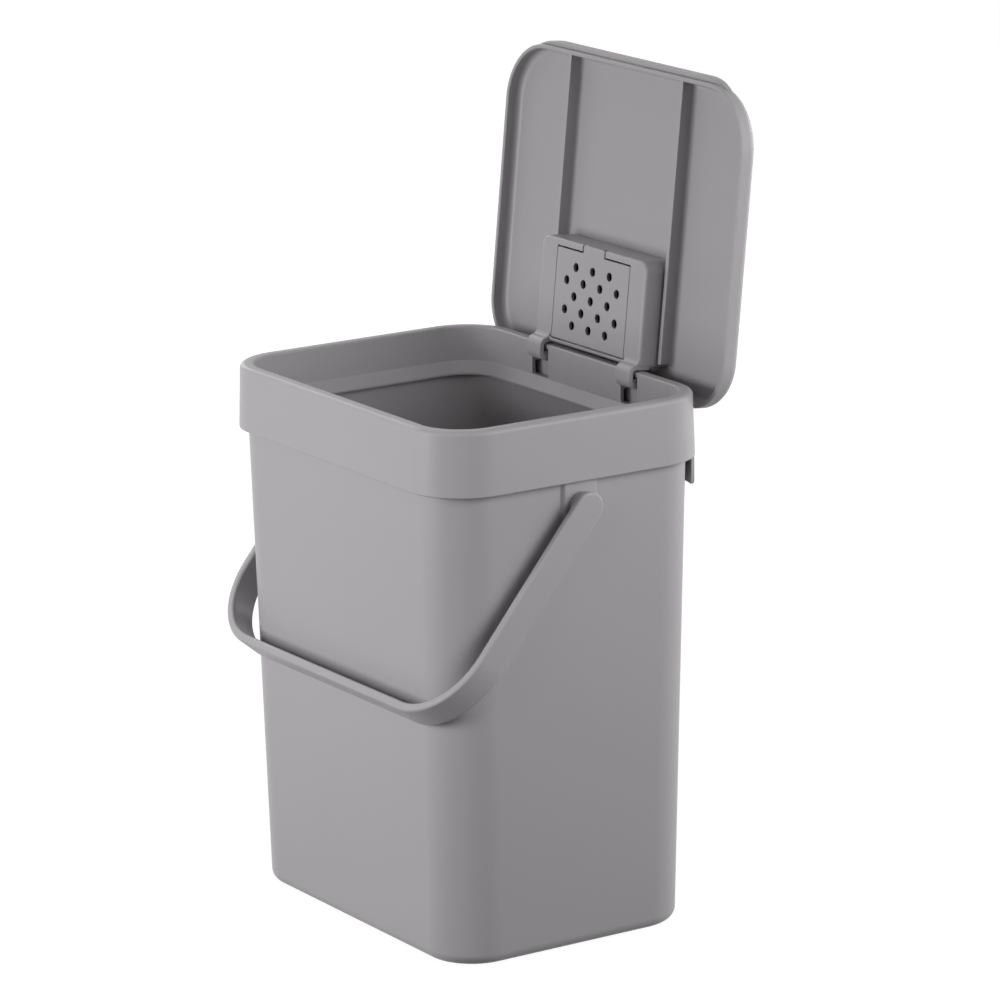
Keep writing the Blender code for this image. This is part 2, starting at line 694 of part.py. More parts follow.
def add_door_bearing(tools, side, word):
    """An open notch beside the door's lower corner, into which its pip snaps."""
    y, z = door_axis()
    radius = DOOR_PIP_RADIUS + FIT
    start = side * (DOOR_LENGTH / 2)
    end = start + side * (DOOR_GAP + DOOR_PIP_LENGTH + FIT)
    outline = arc((y, z), radius, 0, 180, BEND_STEPS + 1)
    outline += [(y - radius, FACE_Z - OVERRUN), (y + radius, FACE_Z - OVERRUN)]
    tools.cut(f"pip_notch_{word}", on_hinge(prism(outline, start, end)))


def add_arm(tools, side, word):
    """One gooseneck arm with its bored barrel."""
    middle = side * ARM_SPACING / 2
    half = ARM_WIDTH / 2
    arm = prism(arm_outline(), middle - half, middle + half)
    tools.join(f"arm_{word}", on_hinge(arm))
    axis = (middle, HINGE_Y, HINGE_HEIGHT)
    tools.join(f"barrel_{word}", on_hinge(cylinder(axis, BARREL_RADIUS, ARM_WIDTH)))
    tools.cut(f"barrel_bore_{word}", on_hinge(cylinder(axis, PIN_RADIUS + FIT, ARM_WIDTH + OVERRUN)))


def door_axis():
    """Where the filter door turns, as (Y, Z) on the closed caddy: in the round of its rear edge."""
    return DOOR_REAR - DOOR_THICK / 2, FACE_Z + DOOR_THICK / 2


def make_door(home, tool_home, hinge, finish):
    """The perforated filter door with its thumb tab, a round rear edge and two pips to turn on."""
    axis_y, axis_z = door_axis()
    pivot = bpy.data.objects.new("door_pivot", None)
    home.objects.link(pivot)
    pivot.parent = hinge
    pivot.location = (0, axis_y - HINGE_Y, axis_z - HINGE_HEIGHT)
    half = DOOR_LENGTH / 2
    back = DOOR_THICK / 2
    side_view = arc((0.0, 0.0), back, -90, 90, BEND_STEPS + 1)
    front = DOOR_FRONT - axis_y
    side_view += [(front, back), (front, -back)]
    door = thing("filter_cover", prism(side_view, -half, half), home, pivot, finish)
    tools = Tools(door, tool_home, pivot)
    tab = box((-TAB_LENGTH / 2, front - TAB_REACH, -back), (TAB_LENGTH / 2, front + back, back))
    tools.join("thumb_tab", tab)
    pip_reach = half + DOOR_GAP + DOOR_PIP_LENGTH
    tools.join("pips", cylinder((0, 0, 0), DOOR_PIP_RADIUS, pip_reach + pip_reach, steps=HOLE_STEPS))
    holes = bmesh.new()
    middle_row = (len(HOLE_ROWS) - 1) / 2
    centre = (front + back) / 2
    for row, count in enumerate(HOLE_ROWS):
        y = centre + (row - middle_row) * HOLE_ROW_PITCH
        for column in range(count):
            x = (column - (count - 1) / 2) * HOLE_PITCH
            cylinder((x, y, 0), HOLE_RADIUS, DOOR_THICK + OVERRUN, "Z", HOLE_STEPS, holes)
    tools.cut("perforations", holes)
    return door


def make_filter(home, hinge, finish):
    """The carbon pad in its bay between the door and the lid."""
    bay = DOOR_LENGTH / 2 + DOOR_GAP - DOOR_LEDGE - FIT
    front = DOOR_FRONT - DOOR_GAP + DOOR_LEDGE + FIT
    rear = DOOR_REAR + DOOR_GAP - DOOR_LEDGE - FIT
    block = box((-bay, front, CARBON_FACE), (bay, rear, CARBON_TOP))
    pad = thing("carbon_filter", on_hinge(block), home, hinge, finish)
    bevel(pad, PAD_EDGE, 2)
    return pad


def main():
    for old in list(bpy.data.objects):
        bpy.data.objects.remove(old, do_unlink=True)
    parts = collection("food_waste_caddy")
    tools = collection("caddy_tools")
    grey = material("grey satin plastic", (0.36, 0.355, 0.362), 0.45)
    steel = material("hinge steel", (0.6, 0.6, 0.6), 0.35, 1.0)
    carbon = material("carbon felt", (0.02, 0.02, 0.02), 0.95)
    make_bucket(parts, tools, grey)
    make_collar(parts, tools, grey)
    make_pins(parts, steel)
    make_handle(parts, tools, grey)
    hinge = make_lid_hinge(parts)
    make_lid(parts, tools, hinge, grey)
    make_housing(parts, tools, hinge, grey)
    make_door(parts, tools, hinge, grey)
    make_filter(parts, hinge, carbon)


main()
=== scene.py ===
"""Looks of the food waste caddy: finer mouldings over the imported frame, their finishes, and the studio.

Metres, in the frame's own axes. Lid pieces are drawn with the lid shut, then turned open about
the hinge that the frame gives.
"""

import json
import math

import bmesh
import bpy
from mathutils import Matrix, Vector, noise


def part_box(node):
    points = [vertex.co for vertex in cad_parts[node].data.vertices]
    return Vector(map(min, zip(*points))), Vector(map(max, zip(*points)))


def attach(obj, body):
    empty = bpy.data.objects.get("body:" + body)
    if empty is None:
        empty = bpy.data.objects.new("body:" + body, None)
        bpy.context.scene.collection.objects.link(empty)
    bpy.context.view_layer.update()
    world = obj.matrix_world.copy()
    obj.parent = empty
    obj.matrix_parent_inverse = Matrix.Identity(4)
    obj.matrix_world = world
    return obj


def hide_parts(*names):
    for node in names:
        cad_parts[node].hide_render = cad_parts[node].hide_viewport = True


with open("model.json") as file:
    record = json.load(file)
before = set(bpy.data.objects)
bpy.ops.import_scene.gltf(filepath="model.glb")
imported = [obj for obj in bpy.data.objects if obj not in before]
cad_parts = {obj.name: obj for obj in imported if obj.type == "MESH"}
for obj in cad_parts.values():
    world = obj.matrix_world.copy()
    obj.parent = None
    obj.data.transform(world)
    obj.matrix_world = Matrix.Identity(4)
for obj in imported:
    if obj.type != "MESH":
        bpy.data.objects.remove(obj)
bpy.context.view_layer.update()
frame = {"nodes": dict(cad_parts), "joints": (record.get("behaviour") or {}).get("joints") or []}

# Joints, as the frame gives them
JOINTS = {joint["name"]: joint for joint in frame["joints"]}
HINGE = Vector(JOINTS["lid_hinge"]["pos_m"])
OPEN_ANGLE = math.radians(JOINTS["lid_hinge"]["range_deg"][1])
PIVOT_HEIGHT = JOINTS["handle_swing"]["pos_m"][2]
SHUT = Matrix.Translation(HINGE) @ Matrix.Rotation(OPEN_ANGLE, 4, "X") @ Matrix.Translation(-HINGE)
OPENED = SHUT.inverted()


def shut_box(node):
    """The lowest and highest corners of a lid node with the lid shut."""
    points = [SHUT @ vertex.co for vertex in frame["nodes"][node].data.vertices]
    return Vector(map(min, zip(*points))), Vector(map(max, zip(*points)))


COLLAR_LOW, COLLAR_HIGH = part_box("collar")
BUCKET_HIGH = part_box("bucket")[1]
HANDLE_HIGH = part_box("handle")[1]
PIN_LOW, PIN_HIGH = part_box("hinge_pin_right")
LID_LOW, LID_HIGH = shut_box("lid")
HOUSING_LOW, HOUSING_HIGH = shut_box("filter_housing")
DOOR_LOW, DOOR_HIGH = shut_box("filter_cover")
CARBON_LOW, CARBON_HIGH = shut_box("carbon_filter")
DOOR_AXIS = SHUT @ Vector(JOINTS["filter_door_hinge"]["pos_m"])

# Collar
SKIRT_FLARE = 0.001
RIM_TOP = COLLAR_HIGH.z
RIM_HALF_X = COLLAR_HIGH.x - SKIRT_FLARE
RIM_HALF_Y = -COLLAR_LOW.y - SKIRT_FLARE
RIM_CORNER = 0.03
RIM_BAND = 0.0072
RIM_OUTER_EDGE = 0.0025
RIM_INNER_EDGE = 0.001
COLLAR_WALL = 0.002
SKIRT_HEIGHT = 0.033
SKIRT_Z = RIM_TOP - SKIRT_HEIGHT
SKIRT_EDGE = 0.0006
LEDGE_DROP = 0.0182
LEDGE_Z = RIM_TOP - LEDGE_DROP
LEDGE_EDGE = 0.0003
FLANGE_REACH = 0.005
FLANGE_FALL = 0.0055
FLANGE_EDGE = 0.0006
SEAT_Z = LEDGE_Z - COLLAR_WALL
SEAT_LIP = 0.0012
APRON_FOOT = COLLAR_LOW.z
APRON_INSET = 0.015
APRON_HALF = RIM_HALF_X - APRON_INSET
APRON_CORNER = 0.0045
APRON_EDGE = 0.0005
APRON_EDGE_STEPS = 3
APRON_SETBACK = 0.0002
SLOT_SIDE_GAP = 0.0011
SLOT_TOP_DROP = 0.0024
SLOT_SILL = 0.0003
SLOT_CORNER = 0.0006
SLOT_EDGE = 0.0004
BOSS_LENGTH = 0.0042
BOSS_RADIUS = 0.0036

# Bucket
BUCKET_TOP = BUCKET_HIGH.z
BUCKET_WALL = 0.0022
BUCKET_INSET = 0.004
BUCKET_TAPER = 0.0045
BUCKET_SLOPE = BUCKET_TAPER / SKIRT_Z
BUCKET_TOP_CORNER = 0.0255
BUCKET_BASE_CORNER = 0.0265
BUCKET_LIP_EDGE = 0.0006
BASE_FILLET = 0.006
FOOT_WIDTH = 0.005
FOOT_RISE = 0.0008
FOOT_EDGE = 0.0003
FLOOR_SPREAD = 0.012
PAD_FACE = BUCKET_HIGH.x
PAD_HALF = 0.01085
PAD_TUCK = 0.008
PAD_SLOPE = 0.0018
PAD_EASING_SHARE = 0.25
STUD_HOLE_EDGE = 0.0005

# Handle
HANDLE_THICK = 0.0046
HANDLE_WIDTH = 0.0156
HANDLE_EDGE = 0.0015
HANDLE_FORWARD = 0.0508
HANDLE_REACH = RIM_HALF_Y + HANDLE_FORWARD
HANDLE_CORNER = 0.04
HANDLE_BEND_STEPS = 28
HUB_RADIUS = 0.0068
STUD_RADIUS = 0.005
STUD_HEAD_LIP = 0.0012
STUD_HEAD_THICK = 0.0018

# Lid, drawn shut
LID_RIM = LID_LOW.z
LID_TOP = LID_HIGH.z
LID_CORNER = 0.032
LID_REAR_CORNER = 0.027
LID_WALL = 0.0022
LID_EDGE = 0.0055
LID_RIM_EDGE = 0.0008
LID_FILLET = 0.0033
LID_INSIDE = LID_TOP - LID_WALL
LID_SPREAD = 0.012
RIB_SPACING = 0.0996
RIB_HALF = 0.0013
RIB_DRAFT = 0.0002
RIB_REAR_GAP = 0.0033
RIB_REAR = RIM_HALF_Y - RIM_BAND - FLANGE_REACH - RIB_REAR_GAP
RIB_EDGE = 0.0004
RIB_ROOT = 0.0017
LIP_INSET = 0.013
LIP_HALF = LID_HIGH.x - LIP_INSET
LIP_TAPER = 0.028
LIP_REACH = -LID_LOW.y - LID_HIGH.y
LIP_RISE = 0.003
LIP_DROP = 0.001
LIP_LOW = LID_RIM + LIP_RISE
LIP_HIGH = LID_TOP - LIP_DROP
LIP_EDGE = 0.001
VENT_COUNT = 5
VENT_HALF = 0.017
VENT_RADIUS = 0.0014
VENT_PITCH = 0.0075
VENT_EDGE = 0.0004
VENT_ROUND_SHARE = 0.98

# Filter housing, drawn shut
HOUSING_HALF = HOUSING_HIGH.x
HOUSING_FRONT = HOUSING_LOW.y
HOUSING_SETBACK = 0.009
HOUSING_REAR = HINGE.y - HOUSING_SETBACK
HOUSING_TOP = HOUSING_HIGH.z
HOUSING_WALL = 0.0022
HOUSING_CORNER = 0.006
HOUSING_REAR_CORNER = 0.0019
HOUSING_EDGE = 0.0016
HOUSING_DROP = 0.01
FACE_Z = LID_RIM - HOUSING_DROP
DOOR_GAP = 0.0004
DOOR_LEDGE = 0.0016
DOOR_PIP_LENGTH = 0.0009
DOOR_PIP_RADIUS = 0.0006
RECESS_CORNER = 0.0006
RECESS_EDGE = 0.0003
TAB_SIDE_GAP = 0.0009

# Filter door, drawn shut
DOOR_THICK = DOOR_HIGH.z - DOOR_LOW.z
DOOR_HALF = DOOR_HIGH.x - DOOR_GAP - DOOR_PIP_LENGTH
RECESS_BORDER = 0.004
RECESS_FRONT = HOUSING_FRONT + RECESS_BORDER - DOOR_GAP
DOOR_FRONT_GAP = 0.0008
DOOR_FRONT = RECESS_FRONT + DOOR_FRONT_GAP
DOOR_REAR = DOOR_HIGH.y
DOOR_MIDDLE = (RECESS_FRONT + DOOR_GAP + DOOR_REAR) / 2
DOOR_EDGE = 0.0003
TAB_HALF = 0.0094
TAB_CORNER = 0.0012
HOLE_RADIUS = 0.0023
HOLE_FLARE = 0.00035
HOLE_COLUMNS = 4
HOLE_ROWS = 5
HOLE_PITCH = 0.015
HOLE_ROW_PITCH = 0.0076

# Gooseneck arms
ARM_HALF = 0.00625
ARM_INSET = 0.00035
ARM_MIDDLE = HOUSING_HALF - ARM_INSET - ARM_HALF
ARM_THICK = 0.0028
ARM_SPREAD = 0.008
ARM_SINK = 0.0048
ARM_BEND = 0.0016
ARM_ROOT = 0.007
ARM_FILLET = 0.003
ARM_EDGE = 0.0006
WEB_RADIUS = 0.0045
WEB_INSET = 0.0002
WEB_END_DEGREES = 250
BARREL_RADIUS = 0.0022
BARREL_EDGE = 0.0003
BORE_RADIUS = 0.0015

# Pins and carbon pad
PIN_RADIUS = 0.0012
PIN_CHAMFER = 0.0003
CARBON_EDGE = 0.0012
CARBON_CELL = 0.0016
CARBON_RELIEF = 0.00035

# Clearances, overruns and how finely round stretches are divided
FIT = 0.0003
OVERRUN = 0.004
ROOT = 0.0008
MERGE_DISTANCE = 0.000004
SHARP_ANGLE = math.radians(38)
CORNER_STEPS = 24
BLOCK_STEPS = 8
EDGE_STEPS = 5
FLARE_STEPS = 3
FILLET_STEPS = 12
ROUND_STEPS = 48
FLAT_FACE_WEIGHT = 80

# Finishes
PLASTIC_GREY = (0.363, 0.35, 0.363, 1.0)
PLASTIC_MOTTLE = 0.03
PLASTIC_ROUGHNESS_SPREAD = 0.08
PLASTIC_IOR = 1.49
PLASTIC_SPECULAR = 0.3
SATIN_GRAIN = 0.0005
SATIN_DEPTH = 0.00002
SATIN_ROUGHNESS = 0.45
SMOOTH_GRAIN = 0.0004
SMOOTH_DEPTH = 0.000012
SMOOTH_ROUGHNESS = 0.4
GRAIN_STRENGTH = 0.5
FLOW_SCALE = 14.0
WIPE_SCALE = 55.0
# Painted highlight: edges are lightened in colour over this radius, by the amount on the next line
PAINTED_HIGHLIGHT_RADIUS = 0.0006
PAINTED_EDGE_HIGHLIGHT = 0.6
STEEL_GREY = (0.6, 0.6, 0.6, 1.0)
STEEL_RING_SCALE = (9000.0, 60.0, 60.0)
STEEL_RING_DEPTH = 0.00001
STEEL_ROUGHNESS = (0.22, 0.42)
FELT_BLACK = (0.008, 0.008, 0.008, 1.0)
FELT_FLECK = (0.05, 0.05, 0.052, 1.0)
FELT_FIBRE_SCALE = 1400.0
FELT_FIBRE_TWIST = 2.0
FELT_DEPTH = 0.0002
FELT_ROUGHNESS = 0.95
FELT_SHEEN = 0.15

# Camera, floor and background
CAMERA_PLACE = Vector((2.2489, -1.4462, 0.8941))
CAMERA_AZIMUTH = math.radians(56.878)
CAMERA_ELEVATION = math.radians(14.333)
CAMERA_ROLL = math.radians(-0.781)
CAMERA_LENS = 195.82
SENSOR_WIDTH = 36.0
CAMERA_SIGHT = 60.0
LIGHT_AIM = 0.2
WORLD_LIGHT = 0.01
WHITE = (1.0, 1.0, 1.0, 1.0)
FLOOR_GREY = (0.14, 0.14, 0.14, 1.0)
FLOOR_ROUGHNESS = 0.9
FLOOR_HALF = 40.0
FLOOR_DROP = 0.0002
FLOOR_NEAR = 0.3
FLOOR_FAR = 1.2
FLOOR_GLOW = 0.93

# Soft boxes: azimuth and elevation in degrees from the caddy's front, distance, size and watts
SOFT_BOXES = {
    "front_key": (-10.0, 9.0, 0.95, 0.45, 7.4),
    "left_fill": (-60.0, 35.0, 2.2, 1.0, 2.9),
    "right_fill": (30.0, 25.0, 2.2, 1.0, 3.9),
    "right_rear": (110.0, 23.0, 1.0, 0.6, 7.2),
    "rear_low": (180.0, 8.0, 2.2, 1.0, 18.5),
    "left_side": (-100.0, 25.0, 2.2, 1.0, 13.0),
    "top_soft": (0.0, 86.0, 1.6, 0.5, 1.3),
}


# Outlines and skins

def arc(centre, radius, start, end, steps=EDGE_STEPS):
    """Points on an arc between two angles in degrees."""
    angles = [math.radians(start + (end - start) * step / steps) for step in range(steps + 1)]
    return [(centre[0] + radius * math.cos(a), centre[1] + radius * math.sin(a)) for a in angles]


def rounded_rectangle(centre, half, corner, steps=CORNER_STEPS, rear_corner=None):
    """A flat rounded rectangle, counterclockwise. The two rear corners may have a radius of their own."""
    points = []
    for quarter in range(4):
        rear = quarter in (0, 1)
        radius = rear_corner if rear and rear_corner else corner
        side_u = half[0] - radius if quarter in (0, 3) else radius - half[0]
        side_v = half[1] - radius if rear else radius - half[1]
        middle = (centre[0] + side_u, centre[1] + side_v)
        points += arc(middle, radius, 90 * quarter, 90 * (quarter + 1), steps)
    return points


def filleted(corners, closed=True, steps=EDGE_STEPS):
    """An outline through (u, v, radius) corners, each rounded by its own radius."""
    outline = []
    for i, (u, v, radius) in enumerate(corners):
        here = Vector((u, v))
        open_end = not closed and i in (0, len(corners) - 1)
        if open_end or not radius:
            outline.append(here)
            continue
        before = (Vector(corners[i - 1][:2]) - here).normalized()
        after = (Vector(corners[(i + 1) % len(corners)][:2]) - here).normalized()
        half_angle = before.angle(after) / 2
        centre = here + (before + after).normalized() * (radius / math.sin(half_angle))
        start = here + before * (radius / math.tan(half_angle)) - centre
        end = here + after * (radius / math.tan(half_angle)) - centre
        sweep = math.atan2(start.cross(end), start.dot(end))
        for step in range(steps + 1):
            outline.append(centre + Matrix.Rotation(sweep * step / steps, 2) @ start)
    return outline


def edge_profile(radius, steps=EDGE_STEPS):
    """(inset, height) up the edge of a block: a rounding, or a flare where the radius is negative."""
    if not radius:
        return [(0.0, 0.0)]
    angles = [math.pi / 2 * step / steps for step in range(steps + 1)]
    return [(radius * (1 - math.sin(a)), abs(radius) * (1 - math.cos(a))) for a in angles]


def loft(rings, closed=False, capped=True):
    """A closed skin through rings of equal count, facing out."""
    skin = bmesh.new()
    rows = [[skin.verts.new(point) for point in ring] for ring in rings]
    pairs = list(zip(rows, rows[1:]))
    if closed:
        pairs.append((rows[-1], rows[0]))
    for low, high in pairs:
        for i in range(len(low)):
            j = (i + 1) % len(low)
            skin.faces.new((low[i], low[j], high[j], high[i]))
    if capped and not closed:
        skin.faces.new(list(reversed(rows[0])))
        skin.faces.new(rows[-1])
    bmesh.ops.recalc_face_normals(skin, faces=skin.faces)
    return skin


def upright(axis, height, point):
    """A flat point set at a height along an axis: (Y, Z) along X, (X, Z) along Y, (X, Y) along Z."""
    u, v = point
    return {"X": (height, u, v), "Y": (u, height, v), "Z": (u, v, height)}[axis]


def block(low, high, corner, ends=(0.0, 0.0), past=(0.0, 0.0), axis="Z", draft=0.0, steps=BLOCK_STEPS):
    """A block with rounded corners. Each end is rounded or, where negative, flared and run past."""
    along = "XYZ".index(axis)
    across = [i for i in range(3) if i != along]
    centre = [(low[i] + high[i]) / 2 for i in across]
    half = [(high[i] - low[i]) / 2 for i in across]
    start = [(inset, low[along] + rise) for inset, rise in edge_profile(ends[0])]
    finish = [(inset + draft, high[along] - rise) for inset, rise in reversed(edge_profile(ends[1]))]
    if past[0]:
        start.insert(0, (start[0][0], low[along] - past[0]))
    if past[1]:
        finish.append((finish[-1][0], high[along] + past[1]))
    rings = []
    for inset, height in start + finish:
        size = (half[0] - inset, half[1] - inset)
        outline = rounded_rectangle(centre, size, max(corner - inset, RECESS_EDGE / 4), steps)
        rings.append([upright(axis, height, point) for point in outline])
    return loft(rings)


def turned(profile, centre, axis="X", steps=ROUND_STEPS):
    """A turned solid from (radius, place along the axis) steps, with flat ends."""
    rings = []
    for radius, along in profile:
        circle = arc((0.0, 0.0), radius, 0, 360, steps)[:-1]
        rings.append([Vector(centre) + Vector(upright(axis, along, point)) for point in circle])
    return loft(rings)


def merged(*shapes):
    """Several separate shapes as one."""
    whole = bmesh.new()
    for shape in shapes:
        mesh = as_mesh("part_of_whole", shape)
        whole.from_mesh(mesh)
        bpy.data.meshes.remove(mesh)
    return whole


def mirrored_pair(make):
    """A shape made for the left side and for the right."""
    return merged(make(-1), make(1))


# Objects and booleans

def as_mesh(name, shape):
    """A bmesh as a mesh."""
    mesh = bpy.data.meshes.new(name)
    shape.to_mesh(mesh)
    shape.free()
    return mesh


def linked(name, data):
    """An object of that mesh, light or camera in the scene."""
    made = bpy.data.objects.new(name, data)
    bpy.context.scene.collection.objects.link(made)
    return made


def discard(*things):
    """Removes helper objects."""
    for thing in things:
        bpy.data.objects.remove(thing, do_unlink=True)


def evaluated(thing):
    """The plain mesh that an object's modifiers give."""
    bpy.context.view_layer.update()
    graph = bpy.context.evaluated_depsgraph_get()
    return bpy.data.meshes.new_from_object(thing.evaluated_get(graph))


class Moulding:
    """One piece: a base skin with shapes joined on and cut out."""

    def __init__(self, name, shape):
        self.piece = linked(name, as_mesh(name, shape))
        self.tools = []

    def add(self, name, shape, operation):
        mesh = shape if isinstance(shape, bpy.types.Mesh) else as_mesh(name, shape)
        tool = linked(name, mesh)
        modifier = self.piece.modifiers.new(name, "BOOLEAN")
        modifier.operation = operation
        modifier.solver = "EXACT"
        modifier.object = tool
        self.tools.append(tool)

    def join(self, name, shape):
        self.add(name, shape, "UNION")

    def cut(self, name, shape):
        self.add(name, shape, "DIFFERENCE")

    def finished(self, finish, place=None):
        """The piece as one plain mesh, smooth but for its real edges, in its finish and place."""
        mesh = evaluated(self.piece)
        discard(*self.tools)
        self.piece.modifiers.clear()
        work = bmesh.new()
        work.from_mesh(mesh)
        bmesh.ops.remove_doubles(work, verts=work.verts, dist=MERGE_DISTANCE)
        bmesh.ops.dissolve_degenerate(work, edges=work.edges, dist=MERGE_DISTANCE)
        bmesh.ops.recalc_face_normals(work, faces=work.faces)
        if place:
            bmesh.ops.transform(work, matrix=place, verts=work.verts)
        work.to_mesh(mesh)
        work.free()
        mesh.shade_smooth()
        mesh.set_sharp_from_angle(angle=SHARP_ANGLE)
        self.piece.data = mesh
        weighted = self.piece.modifiers.new("flat faces stay flat", "WEIGHTED_NORMAL")
        weighted.keep_sharp = True
        weighted.weight = FLAT_FACE_WEIGHT
        self.piece.data = evaluated(self.piece)
        self.piece.modifiers.clear()
        self.piece.data.materials.clear()
        self.piece.data.materials.append(finish)
        for face in self.piece.data.polygons:
            face.material_index = 0
        return self.piece


def dressed(piece, body, slot, *nodes):
    """Rides a finished piece on its body in place of the frame's nodes."""
    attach(piece, body)
    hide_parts(*nodes)
    return piece


# Node trees

def feed(tree, node, values):
    """Values or links for a node's inputs, by name or number."""
    for key, value in values.items():
        if isinstance(value, bpy.types.NodeSocket):
            tree.links.new(value, node.inputs[key])
        else:
            node.inputs[key].default_value = value


def add_node(tree, kind, values=None, **settings):
    """A node with its settings, and values or links for its inputs."""
    node = tree.nodes.new(kind)
    for key, value in settings.items():
        setattr(node, key, value)
    feed(tree, node, values or {})
    return node


def new_tree(kind, name, inputs, outputs=(("Geometry", "Geometry"),)):
    """A node tree with named inputs (name, kind, value) and outputs (name, kind), and what it is given."""
    tree = bpy.data.node_groups.new(name, kind)
    for label, value_kind, value in inputs:
        socket = tree.interface.new_socket(label, in_out="INPUT", socket_type=f"NodeSocket{value_kind}")
        if value is not None:
            socket.default_value = value
    for label, value_kind in outputs:
        tree.interface.new_socket(label, in_out="OUTPUT", socket_type=f"NodeSocket{value_kind}")
    return tree, add_node(tree, "NodeGroupInput").outputs


def maths(tree, operation, *terms):
    """A Math node's result."""
    return add_node(tree, "ShaderNodeMath", dict(enumerate(terms)), operation=operation).outputs[0]


def grown(name, tree, values, start=None):
    """The plain mesh that a Geometry Nodes tree makes from its named values."""
    carrier = linked(name, start or bpy.data.meshes.new(name))
    modifier = carrier.modifiers.new(name, "NODES")
    modifier.node_group = tree
    items = [item for item in tree.interface.items_tree if item.item_type == "SOCKET"]
    names = {item.name: item.identifier for item in items if item.in_out == "INPUT"}
    for key, value in values.items():
        modifier[names[key]] = value
    mesh = evaluated(carrier)
    discard(carrier)
    return mesh


def placed_copies(tree, points, given):
    """Ends a tree: the shape on every point, realized, in the tree's material."""
    shape = add_node(tree, "GeometryNodeObjectInfo", {"Object": given["Shape"]})
    values = {"Points": points, "Instance": shape.outputs["Geometry"]}
    copies = add_node(tree, "GeometryNodeInstanceOnPoints", values)
    real = add_node(tree, "GeometryNodeRealizeInstances", {"Geometry": copies.outputs[0]})
    return finished_tree(tree, real.outputs[0], given)


def finished_tree(tree, geometry, given):
    """Sets the material and sends the geometry out."""
    values = {"Geometry": geometry, "Material": given["Material"]}
    finish = add_node(tree, "GeometryNodeSetMaterial", values)
    add_node(tree, "NodeGroupOutput", {0: finish.outputs[0]})
    return tree


def row_tree():
    """Copies of one shape in a straight row, such as the lid's ribs and air slots."""
    inputs = [
        ("Shape", "Object", None),
        ("Count", "Int", 2),
        ("First", "Vector", None),
        ("Step", "Vector", None),
        ("Material", "Material", None),
    ]
    tree, given = new_tree("GeometryNodeTree", "row of shapes", inputs)
    values = {"Count": given["Count"], "Start Location": given["First"], "Offset": given["Step"]}
    line = add_node(tree, "GeometryNodeMeshLine", values)
    return placed_copies(tree, line.outputs[0], given)


def staggered_tree():
    """Copies of one shape in rows, every other row short of one and moved half a pitch."""
    inputs = [
        ("Shape", "Object", None),
        ("Columns", "Int", HOLE_COLUMNS),
        ("Rows", "Int", HOLE_ROWS),
        ("Pitch", "Float", HOLE_PITCH),
        ("Row Pitch", "Float", HOLE_ROW_PITCH),
        ("Middle", "Vector", None),
        ("Material", "Material", None),
    ]
    tree, given = new_tree("GeometryNodeTree", "staggered holes", inputs)
    pitch = given["Pitch"]
    row_pitch = given["Row Pitch"]
    length = maths(tree, "MULTIPLY", pitch, maths(tree, "SUBTRACT", given["Columns"], 1.0))
    depth = maths(tree, "MULTIPLY", row_pitch, maths(tree, "SUBTRACT", given["Rows"], 1.0))
    sides = {"Size X": length, "Size Y": depth, "Vertices X": given["Columns"], "Vertices Y": given["Rows"]}
    grid = add_node(tree, "GeometryNodeMeshGrid", sides)
    position = add_node(tree, "GeometryNodeInputPosition")
    apart = add_node(tree, "ShaderNodeSeparateXYZ", {0: position.outputs[0]})
    from_front = maths(tree, "ADD", apart.outputs["Y"], maths(tree, "DIVIDE", depth, 2.0))
    row = maths(tree, "ROUND", maths(tree, "DIVIDE", from_front, row_pitch))
    short_row = maths(tree, "SUBTRACT", 1.0, maths(tree, "MODULO", row, 2.0))
    half_pitch = maths(tree, "DIVIDE", pitch, 2.0)
    last_place = maths(tree, "SUBTRACT", maths(tree, "DIVIDE", length, 2.0), half_pitch)
    in_last = maths(tree, "GREATER_THAN", apart.outputs["X"], last_place)
    spare = maths(tree, "MULTIPLY", short_row, in_last)
    dropped = {"Geometry": grid.outputs["Mesh"], "Selection": spare}
    kept = add_node(tree, "GeometryNodeDeleteGeometry", dropped)
    shift = add_node(tree, "ShaderNodeCombineXYZ", {"X": maths(tree, "MULTIPLY", short_row, half_pitch)})
    places = {0: shift.outputs[0], 1: given["Middle"]}
    move = add_node(tree, "ShaderNodeVectorMath", places, operation="ADD")
    moved = {"Geometry": kept.outputs[0], "Offset": move.outputs[0]}
    points = add_node(tree, "GeometryNodeSetPosition", moved)
    return placed_copies(tree, points.outputs[0], given)


def strip_tree():
    """A flat strip with rounded edges, swept along a line drawn in XY and bent at its corners."""
    inputs = [
        ("Geometry", "Geometry", None),
        ("Thickness", "Float", HANDLE_THICK),
        ("Width", "Float", HANDLE_WIDTH),
        ("Edge", "Float", HANDLE_EDGE),
        ("Bend", "Float", HANDLE_CORNER),
        ("Bend Steps", "Int", HANDLE_BEND_STEPS),
        ("Material", "Material", None),
    ]
    tree, given = new_tree("GeometryNodeTree", "bent strip", inputs)
    line = add_node(tree, "GeometryNodeMeshToCurve", {"Mesh": given["Geometry"]})
    bend = {"Curve": line.outputs[0], "Count": given["Bend Steps"], "Radius": given["Bend"]}
    bent = add_node(tree, "GeometryNodeFilletCurve", bend, mode="POLY")
    level = add_node(tree, "GeometryNodeSetCurveNormal", {"Curve": bent.outputs[0]}, mode="Z_UP")
    sides = {"Width": given["Thickness"], "Height": given["Width"]}
    section = add_node(tree, "GeometryNodeCurvePrimitiveQuadrilateral", sides)
    easing = {"Curve": section.outputs[0], "Count": EDGE_STEPS, "Radius": given["Edge"]}
    rounded = add_node(tree, "GeometryNodeFilletCurve", easing, mode="POLY")
    sweep = {"Curve": level.outputs[0], "Profile Curve": rounded.outputs[0], "Fill Caps": True}
    swept = add_node(tree, "GeometryNodeCurveToMesh", sweep)
    return finished_tree(tree, swept.outputs[0], given)


